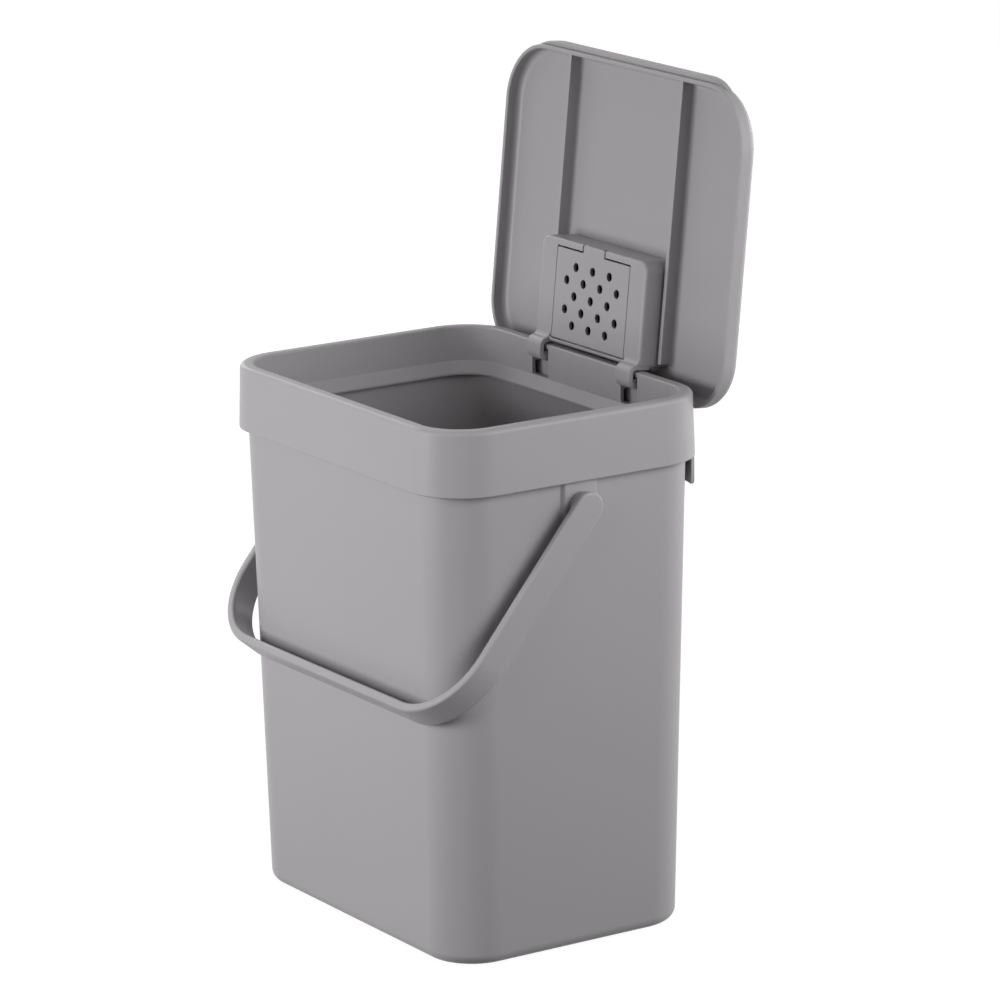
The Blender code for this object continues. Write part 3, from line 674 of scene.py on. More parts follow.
def line_mesh(name, points):
    """A line of edges through flat points, in XY."""
    mesh = bpy.data.meshes.new(name)
    vertices = [(u, v, 0.0) for u, v in points]
    mesh.from_pydata(vertices, [(i, i + 1) for i in range(len(points) - 1)], [])
    return mesh


def strip(name, points):
    """The handle's swept strip as a shape, its line in XY and its width along Z."""
    values = {
        "Thickness": HANDLE_THICK,
        "Width": HANDLE_WIDTH,
        "Edge": HANDLE_EDGE,
        "Bend": HANDLE_CORNER - HANDLE_THICK / 2,
        "Bend Steps": HANDLE_BEND_STEPS,
    }
    mesh = grown(name, strip_tree(), values, line_mesh(name, points))
    shape = bmesh.new()
    shape.from_mesh(mesh)
    bmesh.ops.remove_doubles(shape, verts=shape.verts, dist=MERGE_DISTANCE)
    bmesh.ops.recalc_face_normals(shape, faces=shape.faces)
    return shape


def rowed(name, shape, count, first, step, finish):
    """A row of one shape, as a plain mesh."""
    seed = linked(f"{name}_shape", as_mesh(name, shape))
    values = {"Shape": seed, "Count": count, "First": first, "Step": step, "Material": finish}
    mesh = grown(name, row_tree(), values)
    discard(seed)
    return mesh


# Pieces of the caddy itself

def bucket_inset(z):
    """How far the bucket's outside lies in from the rim's outline at a height."""
    return BUCKET_INSET + BUCKET_SLOPE * (SKIRT_Z - z)


def bucket_ring(inset, z):
    """The bucket's section at an inset from the rim's outline and a height."""
    corner = BUCKET_BASE_CORNER + (BUCKET_TOP_CORNER - BUCKET_BASE_CORNER) * z / SKIRT_Z
    corner -= inset - bucket_inset(z)
    flat = rounded_rectangle((0.0, 0.0), (RIM_HALF_X - inset, RIM_HALF_Y - inset), corner)
    return [(x, y, z) for x, y in flat]


def make_bucket(finish):
    """The tapered tub with its filleted base, foot, side pads and stud holes."""
    outside = bucket_inset(0.0)
    foot = outside + BASE_FILLET + FOOT_WIDTH
    top = bucket_inset(BUCKET_TOP)
    corners = [
        (foot + FOOT_WIDTH, FOOT_RISE, 0.0),
        (foot, FOOT_RISE, FOOT_EDGE),
        (foot, 0.0, FOOT_EDGE),
        (outside, 0.0, BASE_FILLET),
        (top, BUCKET_TOP, BUCKET_LIP_EDGE),
        (top + BUCKET_WALL, BUCKET_TOP, BUCKET_LIP_EDGE),
        (outside + BUCKET_WALL, BUCKET_WALL, BASE_FILLET - BUCKET_WALL),
        (outside + FLOOR_SPREAD, BUCKET_WALL, 0.0),
    ]
    section = filleted(corners, closed=False, steps=FILLET_STEPS)
    bucket = Moulding("bucket_moulding", loft([bucket_ring(u, z) for u, z in section]))
    bucket.join("pads", mirrored_pair(pad))
    bucket.cut("stud_holes", mirrored_pair(stud_hole))
    return bucket.finished(finish)


def pad(side):
    """The raised U round one stud hole, sloping gently down to the wall all round it."""
    wall = RIM_HALF_X - bucket_inset(PIVOT_HEIGHT)
    height = PAD_FACE - wall
    sunk = BUCKET_WALL / 2
    slope = [
        (-PAD_SLOPE * sunk / height, wall - sunk),
        (PAD_SLOPE * (1 - PAD_EASING_SHARE), PAD_FACE - PAD_EASING_SHARE * height),
        (PAD_SLOPE * (1 + PAD_EASING_SHARE), PAD_FACE),
    ]
    top = SKIRT_Z + PAD_TUCK
    rings = []
    for inset, x in slope:
        half = PAD_HALF - inset
        outline = arc((0.0, PIVOT_HEIGHT), half, 180, 360, ROUND_STEPS) + [(half, top), (-half, top)]
        rings.append([upright("X", side * x, point) for point in outline])
    return loft(rings)


def stud_hole(side):
    """The hole for one snap stud, eased at its mouth."""
    radius = STUD_RADIUS + FIT
    profile = [(radius, RIM_HALF_X - 3 * OVERRUN)]
    profile += [(radius - u, PAD_FACE - rise) for u, rise in reversed(edge_profile(-STUD_HOLE_EDGE))]
    profile.append((radius + STUD_HOLE_EDGE, PAD_FACE + OVERRUN))
    return turned([(r, side * x) for r, x in profile], (0.0, 0.0, PIVOT_HEIGHT))


def collar_ring(inset, z):
    """The collar's section at an inset from the rim's outer edge."""
    flat = rounded_rectangle((0.0, 0.0), (RIM_HALF_X - inset, RIM_HALF_Y - inset), RIM_CORNER - inset)
    return [(x, y, z) for x, y in flat]


def skirt_inset(z):
    """How far the skirt's outside lies in from the rim's outline at a height."""
    return -SKIRT_FLARE * (RIM_TOP - RIM_OUTER_EDGE - z) / (SKIRT_HEIGHT - RIM_OUTER_EDGE)


def make_collar(finish):
    """The hollow rim frame with its flared skirt, sloping flange, rear apron and hinge windows."""
    bucket_inside = bucket_inset(BUCKET_TOP) + BUCKET_WALL
    lip = RIM_BAND + FLANGE_REACH
    band = RIM_BAND - COLLAR_WALL
    corners = [
        (skirt_inset(SKIRT_Z), SKIRT_Z, SKIRT_EDGE),
        (skirt_inset(RIM_TOP), RIM_TOP, RIM_OUTER_EDGE),
        (RIM_BAND, RIM_TOP, RIM_INNER_EDGE),
        (RIM_BAND, LEDGE_Z, LEDGE_EDGE),
        (lip, LEDGE_Z - FLANGE_FALL, FLANGE_EDGE),
        (lip, LEDGE_Z - FLANGE_FALL - COLLAR_WALL, FLANGE_EDGE),
        (bucket_inside + FIT, SEAT_Z - SEAT_LIP, 0.0),
        (bucket_inside + FIT, SEAT_Z, 0.0),
        (COLLAR_WALL, SEAT_Z, 0.0),
        (COLLAR_WALL, LEDGE_Z, 0.0),
        (band, LEDGE_Z, 0.0),
        (band, RIM_TOP - COLLAR_WALL, 0.0),
        (COLLAR_WALL, RIM_TOP - COLLAR_WALL, 0.0),
        (skirt_inset(SKIRT_Z) + COLLAR_WALL, SKIRT_Z, SKIRT_EDGE),
    ]
    section = filleted(corners)
    collar = Moulding("collar_moulding", loft([collar_ring(u, z) for u, z in section], closed=True))
    collar.join("apron", apron())
    collar.join("bosses", mirrored_pair(bosses))
    collar.cut("windows", mirrored_pair(window))
    collar.cut("pin_bores", mirrored_pair(pin_bore))
    return collar.finished(finish)


def apron():
    """The deep rear of the skirt, with rounded lower corners and eased edges."""
    low = SKIRT_Z + COLLAR_WALL
    outside = skirt_inset(SKIRT_Z) + APRON_SETBACK
    inside = skirt_inset(SKIRT_Z) + COLLAR_WALL - APRON_SETBACK
    section = ((outside, APRON_FOOT), (outside, low), (inside, low), (inside, APRON_FOOT))
    band = Moulding("apron", loft([collar_ring(u, z) for u, z in section], closed=True))
    corners = [
        (APRON_HALF, low + OVERRUN, 0.0),
        (-APRON_HALF, low + OVERRUN, 0.0),
        (-APRON_HALF, APRON_FOOT, APRON_CORNER),
        (APRON_HALF, APRON_FOOT, APRON_CORNER),
    ]
    outline = filleted(corners, steps=FILLET_STEPS)
    ends = (0.0, RIM_HALF_Y + OVERRUN)
    rear = loft([[upright("Y", y, point) for point in outline] for y in ends])
    band.add("apron_outline", rear, "INTERSECT")
    eased = band.piece.modifiers.new("eased edges", "BEVEL")
    eased.width = APRON_EDGE
    eased.segments = APRON_EDGE_STEPS
    eased.limit_method = "ANGLE"
    eased.angle_limit = SHARP_ANGLE
    mesh = evaluated(band.piece)
    discard(band.piece, *band.tools)
    return mesh


def bosses(side):
    """The two bored bosses beside one window, inside the hollow rim."""
    channel = RIM_HALF_Y - RIM_BAND + COLLAR_WALL - FIT
    skin = RIM_HALF_Y - COLLAR_WALL + FIT
    top = RIM_TOP - SLOT_TOP_DROP + FIT
    shapes = []
    for end in (-1, 1):
        edge = side * ARM_MIDDLE + end * (ARM_HALF + SLOT_SIDE_GAP)
        low_x, high_x = sorted((edge, edge + end * BOSS_LENGTH))
        shapes.append(block((low_x, channel, HINGE.z - BOSS_RADIUS), (high_x, skin, top), FIT / 4))
    return merged(*shapes)


def window(side):
    """The opening for one arm, eased where it leaves the rim's inner face."""
    half = ARM_HALF + SLOT_SIDE_GAP
    face = RIM_HALF_Y - RIM_BAND
    low = (side * ARM_MIDDLE - half, face, LEDGE_Z + SLOT_SILL)
    high = (side * ARM_MIDDLE + half, face + COLLAR_WALL + FIT, RIM_TOP - SLOT_TOP_DROP)
    return block(low, high, SLOT_CORNER, ends=(-SLOT_EDGE, 0.0), past=(OVERRUN, 0.0), axis="Y")


def pin_bore(side):
    """The bore for one hinge pin."""
    half = (PIN_HIGH.x - PIN_LOW.x) / 2 + FIT
    profile = [(BORE_RADIUS, -half), (BORE_RADIUS, half)]
    return turned(profile, (side * ARM_MIDDLE, HINGE.y, HINGE.z), steps=ROUND_STEPS // 2)


def make_pin(side, word, finish):
    """One turned steel pin with chamfered ends."""
    half = (PIN_HIGH.x - PIN_LOW.x) / 2
    profile = [
        (PIN_RADIUS - PIN_CHAMFER, -half),
        (PIN_RADIUS, PIN_CHAMFER - half),
        (PIN_RADIUS, half - PIN_CHAMFER),
        (PIN_RADIUS - PIN_CHAMFER, half),
    ]
    shape = turned(profile, (side * ARM_MIDDLE, HINGE.y, HINGE.z))
    return Moulding(f"hinge_pin_turned_{word}", shape).finished(finish)


# The bail handle

def handle_tilt():
    """How far forward of straight down the handle hangs, from the end of its bar in the frame."""
    points = [vertex.co for vertex in frame["nodes"]["handle"].data.vertices]
    inmost = min(abs(point.x) for point in points)
    bar = [point for point in points if abs(point.x) < inmost + MERGE_DISTANCE]
    middle = sum(bar, Vector()) / len(bar)
    return math.atan2(-middle.y, PIVOT_HEIGHT - middle.z)


def make_handle(finish):
    """One bent strip with round ends, and a hub and snap stud inside each end."""
    middle_x = HANDLE_HIGH.x - HANDLE_THICK / 2
    foot = HANDLE_THICK / 2 - HANDLE_REACH
    line = [(-middle_x, 0.0), (-middle_x, foot), (middle_x, foot), (middle_x, 0.0)]
    shape = strip("handle", line)
    round_off_ends(shape)
    bmesh.ops.rotate(shape, matrix=Matrix.Rotation(math.pi / 2, 3, "X"), verts=shape.verts)
    handle = Moulding("handle_moulding", shape)
    handle.join("studs", mirrored_pair(stud))
    place = Matrix.Translation((0.0, 0.0, PIVOT_HEIGHT)) @ Matrix.Rotation(-handle_tilt(), 4, "X")
    return handle.finished(finish, place)


def round_off_ends(shape):
    """Replaces the flat ends of a strip, on the pivot's axis, by half a turn of its own section."""
    flat_ends = [face for face in shape.faces if all(abs(v.co.y) < MERGE_DISTANCE for v in face.verts)]
    bmesh.ops.delete(shape, geom=flat_ends, context="FACES_ONLY")
    everything = shape.verts[:] + shape.edges[:] + shape.faces[:]
    bmesh.ops.bisect_plane(shape, geom=everything, plane_co=(0.0, 0.0, 0.0), plane_no=(0.0, 0.0, 1.0))
    open_edges = [edge for edge in shape.edges if edge.is_boundary]
    upper = [edge for edge in open_edges if min(v.co.z for v in edge.verts) > -MERGE_DISTANCE]
    bmesh.ops.spin(
        shape,
        geom=upper,
        cent=(0.0, 0.0, 0.0),
        axis=(-1.0, 0.0, 0.0),
        angle=math.pi,
        steps=ROUND_STEPS // 2,
    )
    bmesh.ops.remove_doubles(shape, verts=shape.verts, dist=MERGE_DISTANCE)
    bmesh.ops.recalc_face_normals(shape, faces=shape.faces)


def stud(side):
    """The hub inside one arm's end and its snap stud, about the pivot."""
    root = HANDLE_HIGH.x - HANDLE_THICK / 2
    hub = PAD_FACE + FIT
    wall_z = PIVOT_HEIGHT - STUD_RADIUS - STUD_HEAD_LIP
    neck = RIM_HALF_X - bucket_inset(wall_z) - BUCKET_WALL - FIT
    profile = [
        (HUB_RADIUS, root),
        (HUB_RADIUS, hub),
        (STUD_RADIUS, hub),
        (STUD_RADIUS, neck),
        (STUD_RADIUS + STUD_HEAD_LIP, neck),
        (STUD_RADIUS, neck - STUD_HEAD_THICK),
    ]
    return turned([(r, side * x) for r, x in profile], (0.0, 0.0, 0.0))


# Lid pieces, drawn shut

def lid_ring(inset, z):
    """The lid's section at an inset from its outer edge."""
    half = (LID_HIGH.x - inset, LID_HIGH.y - inset)
    rear = LID_REAR_CORNER - inset
    return [(x, y, z) for x, y in rounded_rectangle((0.0, 0.0), half, LID_CORNER - inset, rear_corner=rear)]


def lip_ring(x, share):
    """A section across the finger lip, seated in the lid's wall, at a share of its full reach."""
    turned_by = max(0.0, abs(x) - (LID_HIGH.x - LID_CORNER))
    face = LID_CORNER - LID_HIGH.y - math.sqrt(LID_CORNER**2 - turned_by**2)
    nose = face + FIT - (LIP_REACH + FIT) * share
    edge = min(LIP_EDGE, (face + LID_WALL / 2 - nose) / 2)
    sunk = LID_TOP - LID_EDGE
    high = sunk + (LIP_HIGH - sunk) * math.sqrt(share)
    section = [(face + LID_EDGE / 2, high), (face + LID_WALL / 2, LIP_LOW)]
    section += arc((nose + edge, LIP_LOW + edge), edge, 270, 180)
    section += arc((nose + edge, high - edge), edge, 180, 90)
    return [(x, y, z) for y, z in section]


def finger_lip():
    """The lip along the lid's front, which fades into the lid's edge at both ends."""
    fade = [step / CORNER_STEPS for step in range(CORNER_STEPS + 1)]
    ends = [(LIP_HALF - LIP_TAPER * share, (1 - math.cos(math.pi * share)) / 2) for share in fade]
    rings = [lip_ring(-x, share) for x, share in ends]
    rings += [lip_ring(x, share) for x, share in reversed(ends)]
    return loft(rings)


def make_lid(finish):
    """The shallow tray with its rolled edge, two ribs, finger lip and air slots."""
    corners = [
        (LID_SPREAD, LID_TOP, 0.0),
        (0.0, LID_TOP, LID_EDGE),
        (0.0, LID_RIM, LID_RIM_EDGE),
        (LID_WALL, LID_RIM, LID_RIM_EDGE),
        (LID_WALL, LID_INSIDE, LID_FILLET),
        (LID_SPREAD, LID_INSIDE, 0.0),
    ]
    section = filleted(corners, closed=False, steps=FILLET_STEPS)
    lid = Moulding("lid_moulding", loft([lid_ring(u, z) for u, z in section]))
    front = -LID_HIGH.y
    rib = block(
        (-RIB_HALF, front + LID_WALL / 2, LID_RIM + FIT),
        (RIB_HALF, RIB_REAR, LID_INSIDE),
        RIB_HALF - RIB_DRAFT,
        ends=(RIB_EDGE, -RIB_ROOT),
        past=(0.0, ROOT),
        draft=-RIB_DRAFT,
    )
    first = (-RIB_SPACING / 2, 0.0, 0.0)
    lid.join("ribs", rowed("ribs", rib, 2, first, (RIB_SPACING, 0.0, 0.0), finish))
    lid.join("finger_lip", finger_lip())
    slot = block(
        (-VENT_HALF, -VENT_RADIUS, LID_INSIDE),
        (VENT_HALF, VENT_RADIUS, LID_TOP),
        VENT_RADIUS * VENT_ROUND_SHARE,
        ends=(-VENT_EDGE, -VENT_EDGE),
        past=(OVERRUN, OVERRUN),
    )
    first = (0.0, DOOR_MIDDLE - VENT_PITCH * (VENT_COUNT - 1) / 2, 0.0)
    lid.cut("air_slots", rowed("air_slots", slot, VENT_COUNT, first, (0.0, VENT_PITCH, 0.0), finish))
    return lid.finished(finish, OPENED)


def housing_ring(inset, z):
    """The filter housing's section at an inset, rounder in front than beside the hinge."""
    centre = (0.0, (HOUSING_FRONT + HOUSING_REAR) / 2)
    half = (HOUSING_HALF - inset, (HOUSING_REAR - HOUSING_FRONT) / 2 - inset)
    corner = HOUSING_CORNER - inset
    rear = HOUSING_REAR_CORNER - inset
    return [(x, y, z) for x, y in rounded_rectangle(centre, half, corner, rear_corner=rear)]


def make_housing(finish):
    """The filter housing with the door's recess, the pad's bay and both gooseneck arms."""
    profile = [(u, FACE_Z + rise) for u, rise in edge_profile(HOUSING_EDGE)] + [(0.0, HOUSING_TOP)]
    housing = Moulding("filter_housing_moulding", loft([housing_ring(u, z) for u, z in profile]))
    housing.join("arms", mirrored_pair(arm))
    housing.join("webs", mirrored_pair(web))
    housing.join("barrels", mirrored_pair(barrel))
    recess = DOOR_HALF + DOOR_GAP
    bay = recess - DOOR_LEDGE
    ledge = FACE_Z + DOOR_THICK + FIT
    bay_low = (-bay, RECESS_FRONT + FIT, FACE_Z)
    bay_high = (bay, DOOR_REAR + DOOR_GAP - DOOR_LEDGE, HOUSING_TOP)
    housing.cut("filter_bay", block(bay_low, bay_high, CARBON_EDGE, past=(OVERRUN, OVERRUN)))
    mouth = {"ends": (-RECESS_EDGE, 0.0), "past": (OVERRUN, 0.0)}
    recess_low = (-recess, RECESS_FRONT, FACE_Z)
    recess_high = (recess, DOOR_REAR + DOOR_GAP, ledge)
    housing.cut("door_recess", block(recess_low, recess_high, RECESS_CORNER, **mouth))
    notch = TAB_HALF + TAB_SIDE_GAP
    notch_low = (-notch, HOUSING_FRONT - OVERRUN, FACE_Z)
    notch_high = (notch, DOOR_FRONT + OVERRUN, ledge)
    housing.cut("tab_notch", block(notch_low, notch_high, RECESS_CORNER, **mouth))
    housing.cut("pip_notches", mirrored_pair(pip_notch))
    housing.cut("side_pockets", mirrored_pair(side_pocket))
    housing.cut("barrel_bores", mirrored_pair(barrel_bore))
    return housing.finished(finish, OPENED)


def arm_outline(inset):
    """The side view of one arm, drawn in: down from the housing's face, back, and up to the barrel."""
    half = ARM_THICK / 2
    outside = ARM_BEND + ARM_THICK
    leg = HINGE.y - ARM_SPREAD - ARM_THICK
    turn_z = HINGE.z - ARM_SINK + ARM_BEND
    front_turn = (leg + outside, turn_z)
    rear_turn = (HINGE.y + half - outside, turn_z)
    root = FACE_Z + ARM_ROOT
    reach = outside + ARM_FILLET
    lean = math.degrees(math.asin((turn_z - FACE_Z + ARM_FILLET) / reach))
    fillet_y = front_turn[0] - reach * math.cos(math.radians(lean))
    fillet = arc((fillet_y, FACE_Z - ARM_FILLET), ARM_FILLET + inset, 90, lean, FILLET_STEPS)
    outline = [(fillet_y, root)] + fillet
    outline += arc(front_turn, outside - inset, 180 + lean, 270, FILLET_STEPS)[1:]
    outline += arc(rear_turn, outside - inset, 270, 360, FILLET_STEPS)
    outline += [(HINGE.y + half - inset, HINGE.z), (HINGE.y - half + inset, HINGE.z)]
    outline += arc(rear_turn, ARM_BEND + inset, 360, 270, FILLET_STEPS)
    outline += arc(front_turn, ARM_BEND + inset, 270, 180, FILLET_STEPS)
    outline.append((leg + ARM_THICK - inset, root))
    return outline


def arm(side):
    """One gooseneck arm with eased sides."""
    steps = [(u, rise - ARM_HALF) for u, rise in edge_profile(ARM_EDGE)]
    steps += [(u, -x) for u, x in reversed(steps)]
    middle = side * ARM_MIDDLE
    return loft([[(middle + x, y, z) for y, z in arm_outline(u)] for u, x in steps])


def web(side):
    """The stiffening web in the crook of one arm, short of the bar that the hook closes round."""
    half = ARM_HALF - WEB_INSET
    foot = HINGE.z - ARM_SINK - ARM_THICK / 2
    outline = arc((HINGE.y, HINGE.z), WEB_RADIUS, 180, WEB_END_DEGREES, FILLET_STEPS)
    outline += [(outline[-1][0], foot), (HINGE.y, foot), (HINGE.y, HINGE.z)]
    middle = side * ARM_MIDDLE
    return loft([[(middle + x, y, z) for y, z in outline] for x in (-half, half)])


def barrel(side):
    """The barrel at the end of one arm."""
    profile = [(BARREL_RADIUS - u, rise - ARM_HALF) for u, rise in edge_profile(BARREL_EDGE)]
    profile += [(r, -x) for r, x in reversed(profile)]
    return turned(profile, (side * ARM_MIDDLE, HINGE.y, HINGE.z))


def barrel_bore(side):
    """The bore through one barrel."""
    reach = ARM_HALF + OVERRUN / 4
    profile = [(BORE_RADIUS, -reach), (BORE_RADIUS, reach)]
    return turned(profile, (side * ARM_MIDDLE, HINGE.y, HINGE.z), steps=ROUND_STEPS // 2)


def pip_notch(side):
    """The open notch beside one lower corner of the door, where its pip snaps in."""
    radius = DOOR_PIP_RADIUS + FIT
    start = side * DOOR_HALF
    end = start + side * (DOOR_GAP + DOOR_PIP_LENGTH + FIT)
    y, z = DOOR_AXIS.y, DOOR_AXIS.z
    outline = arc((y, z), radius, 0, 180, FILLET_STEPS)
    outline += [(y - radius, FACE_Z - OVERRUN), (y + radius, FACE_Z - OVERRUN)]
    return loft([[upright("X", x, point) for point in outline] for x in sorted((start, end))])


def side_pocket(side):
    """The hollow beside the bay, open to the lid."""
    ends = (side * (DOOR_HALF + DOOR_GAP + HOUSING_WALL), side * (HOUSING_HALF - HOUSING_WALL))
    low = (min(ends), HOUSING_FRONT + HOUSING_WALL, FACE_Z + HOUSING_WALL)
    high = (max(ends), HOUSING_REAR - HOUSING_WALL, HOUSING_TOP)
    return block(low, high, HOUSING_WALL, past=(0.0, OVERRUN))


def make_door(finish):
    """The perforated door with its thumb tab, round rear edge and pips."""
    back = DOOR_THICK / 2
    y, z = DOOR_AXIS.y, DOOR_AXIS.z
    rings = []
    ends = edge_profile(DOOR_EDGE)
    steps = [(u, rise - DOOR_HALF) for u, rise in ends]
    steps += [(u, DOOR_HALF - rise) for u, rise in reversed(ends)]
    for inset, x in steps:
        outline = arc((y, z), back - inset, -90, 90, FILLET_STEPS)
        front = DOOR_FRONT + inset
        outline += arc((front + DOOR_EDGE, z + back - inset - DOOR_EDGE), DOOR_EDGE, 90, 180)
        outline += arc((front + DOOR_EDGE, z - back + inset + DOOR_EDGE), DOOR_EDGE, 180, 270)
        rings.append([upright("X", x, point) for point in outline])
    door = Moulding("filter_cover_moulding", loft(rings))
    tab_low = (-TAB_HALF, HOUSING_FRONT, DOOR_LOW.z)
    tab_high = (TAB_HALF, DOOR_FRONT + OVERRUN, DOOR_HIGH.z)
    door.join("thumb_tab", block(tab_low, tab_high, TAB_CORNER, ends=(DOOR_EDGE, DOOR_EDGE)))
    pip_half = DOOR_HIGH.x
    pips = turned([(DOOR_PIP_RADIUS, -pip_half), (DOOR_PIP_RADIUS, pip_half)], (0.0, y, z))
    door.join("pips", pips)
    hole = turned(hole_profile(), (0.0, 0.0, 0.0), axis="Z", steps=ROUND_STEPS // 2)
    seed = linked("hole_shape", as_mesh("hole_shape", hole))
    values = {
        "Shape": seed,
        "Columns": HOLE_COLUMNS,
        "Rows": HOLE_ROWS,
        "Pitch": HOLE_PITCH,
        "Row Pitch": HOLE_ROW_PITCH,
        "Middle": (0.0, DOOR_MIDDLE, z),
        "Material": finish,
    }
    door.cut("perforations", grown("perforations", staggered_tree(), values))
    discard(seed)
    return door.finished(finish, OPENED)


def hole_profile():
    """One perforation's cutter, flared at both faces of the door."""
    back = DOOR_THICK / 2
    flare = [(HOLE_RADIUS - u, rise - back) for u, rise in edge_profile(-HOLE_FLARE, FLARE_STEPS)]
    profile = [(HOLE_RADIUS + HOLE_FLARE, -back - OVERRUN)] + flare
    return profile + [(r, -z) for r, z in reversed(profile)]


def make_carbon_pad(finish):
    """The carbon-filled felt pad, with a slightly uneven, fibrous surface."""
    shape = block(CARBON_LOW, CARBON_HIGH, CARBON_EDGE, ends=(CARBON_EDGE, CARBON_EDGE))
    pad_mesh = linked("carbon_start", as_mesh("carbon_start", shape))
    remesh = pad_mesh.modifiers.new("even cells", "REMESH")
    remesh.mode = "VOXEL"
    remesh.voxel_size = CARBON_CELL / 3
    mesh = evaluated(pad_mesh)
    discard(pad_mesh)
    felt = bmesh.new()
    felt.from_mesh(mesh)
    felt.normal_update()
    for vertex in felt.verts:
        depth = 0.5 + 0.5 * noise.noise(vertex.co / CARBON_CELL)
        vertex.co -= vertex.normal * CARBON_RELIEF * depth
    return Moulding("carbon_pad_felt", felt).finished(finish, OPENED)


# Finishes

def object_place(tree):
    """The place on the object, which every finish is laid out by."""
    return add_node(tree, "ShaderNodeTexCoord").outputs["Object"]


def clouds(tree, place, scale, detail):
    """A noise over the surface."""
    values = {"Vector": place, "Scale": scale, "Detail": detail}
    return add_node(tree, "ShaderNodeTexNoise", values).outputs[0]


def swing(tree, value, amount):
    """A noise taken about its middle, at a strength."""
    return maths(tree, "MULTIPLY", maths(tree, "SUBTRACT", value, 0.5), amount)


def moulded_group():
    """Shared look of moulded plastic: faint flow mottling, spark-eroded grain and a painted highlight along
    edges.
    """
    inputs = [
        ("Colour", "Color", PLASTIC_GREY),
        ("Mottle", "Float", PLASTIC_MOTTLE),
        ("Grain Size", "Float", SATIN_GRAIN),
        ("Roughness", "Float", SATIN_ROUGHNESS),
        ("Roughness Spread", "Float", PLASTIC_ROUGHNESS_SPREAD),
        # Strength of the painted highlight along edges
        ("Painted Edge Highlight", "Float", PAINTED_EDGE_HIGHLIGHT),
    ]
    outputs = (("Colour", "Color"), ("Roughness", "Float"), ("Height", "Float"))
    tree, given = new_tree("ShaderNodeTree", "moulded surface", inputs, outputs)
    place = object_place(tree)
    grain = clouds(tree, place, maths(tree, "DIVIDE", 1.0, given["Grain Size"]), 2.0)
    mottle = swing(tree, clouds(tree, place, FLOW_SCALE, 3.0), given["Mottle"])
    speck = swing(tree, grain, given["Mottle"])
    spread = swing(tree, clouds(tree, place, WIPE_SCALE, 4.0), given["Roughness Spread"])
    normal = add_node(tree, "ShaderNodeNewGeometry").outputs["Normal"]
    # Painted highlight: the colour is lightened along edges, where the rounded normal turns away from the
    # true one
    eased = add_node(tree, "ShaderNodeBevel", {"Radius": PAINTED_HIGHLIGHT_RADIUS}, samples=4).outputs[0]
    facing = add_node(tree, "ShaderNodeVectorMath", {0: normal, 1: eased}, operation="DOT_PRODUCT")
    edge = maths(tree, "SUBTRACT", 1.0, facing.outputs["Value"])
    painted_highlight = maths(tree, "MULTIPLY", edge, given["Painted Edge Highlight"])
    shade = maths(tree, "ADD", maths(tree, "ADD", 1.0, maths(tree, "ADD", mottle, speck)), painted_highlight)
    colour = add_node(tree, "ShaderNodeVectorMath", {0: given["Colour"], "Scale": shade}, operation="SCALE")
    rough = maths(tree, "ADD", given["Roughness"], spread)
    add_node(tree, "NodeGroupOutput", {"Colour": colour.outputs[0], "Roughness": rough, "Height": grain})
    return tree


def new_material(name):
    """A material with nodes, its tree and its Principled shader."""
    made = bpy.data.materials.new(name)
    made.use_nodes = True
    return made, made.node_tree, made.node_tree.nodes["Principled BSDF"]


def plastic(name, group, grain_size, grain_depth, roughness):
    """Satin grey moulded plastic."""
    made, tree, shader = new_material(name)
    look = add_node(tree, "ShaderNodeGroup", node_tree=group)
    feed(tree, look, {"Grain Size": grain_size, "Roughness": roughness})
    relief = {"Height": look.outputs["Height"], "Distance": grain_depth, "Strength": GRAIN_STRENGTH}
    bump = add_node(tree, "ShaderNodeBump", relief)
    surface = {
        "Base Color": look.outputs["Colour"],
        "Roughness": look.outputs["Roughness"],
        "Normal": bump.outputs[0],
        "IOR": PLASTIC_IOR,
        "Specular IOR Level": PLASTIC_SPECULAR,
    }
    feed(tree, shader, surface)
    return made


def turned_steel():
    """Bright turned steel, with fine rings round the pin."""
    made, tree, shader = new_material("turned steel")
    stretch = add_node(tree, "ShaderNodeMapping", {"Vector": object_place(tree), "Scale": STEEL_RING_SCALE})
    rings = clouds(tree, stretch.outputs[0], 1.0, 2.0)
    low, high = STEEL_ROUGHNESS
    rough = add_node(tree, "ShaderNodeMapRange", {"Value": rings, "To Min": low, "To Max": high})
    bump = add_node(tree, "ShaderNodeBump", {"Height": rings, "Distance": STEEL_RING_DEPTH})
    feed(tree, shader, {"Roughness": rough.outputs[0], "Normal": bump.outputs[0]})
    feed(tree, shader, {"Base Color": STEEL_GREY, "Metallic": 1.0})
    return made


def carbon_felt():
    """Black carbon-filled felt: tangled fibres with a few paler flecks."""
    made, tree, shader = new_material("carbon felt")
    values = {"Scale": FELT_FIBRE_SCALE, "Detail": 6.0, "Distortion": FELT_FIBRE_TWIST}
    values["Vector"] = object_place(tree)
    fibres = add_node(tree, "ShaderNodeTexNoise", values).outputs[0]
    tone = add_node(tree, "ShaderNodeValToRGB", {"Fac": fibres})
    tone.color_ramp.elements[0].color = FELT_BLACK
    tone.color_ramp.elements[1].color = FELT_FLECK
    bump = add_node(tree, "ShaderNodeBump", {"Height": fibres, "Distance": FELT_DEPTH})
    feed(tree, shader, {"Base Color": tone.outputs[0], "Normal": bump.outputs[0]})
    feed(tree, shader, {"Roughness": FELT_ROUGHNESS, "Sheen Weight": FELT_SHEEN})
    return made


# Studio

def seen_as_backdrop(tree):
    """1 for rays from the camera and for mirrored or passed views, 0 for light on the object."""
    path = add_node(tree, "ShaderNodeLightPath")
    seen = maths(tree, "MAXIMUM", path.outputs["Is Camera Ray"], path.outputs["Is Transmission Ray"])
    return maths(tree, "MAXIMUM", seen, path.outputs["Is Glossy Ray"])


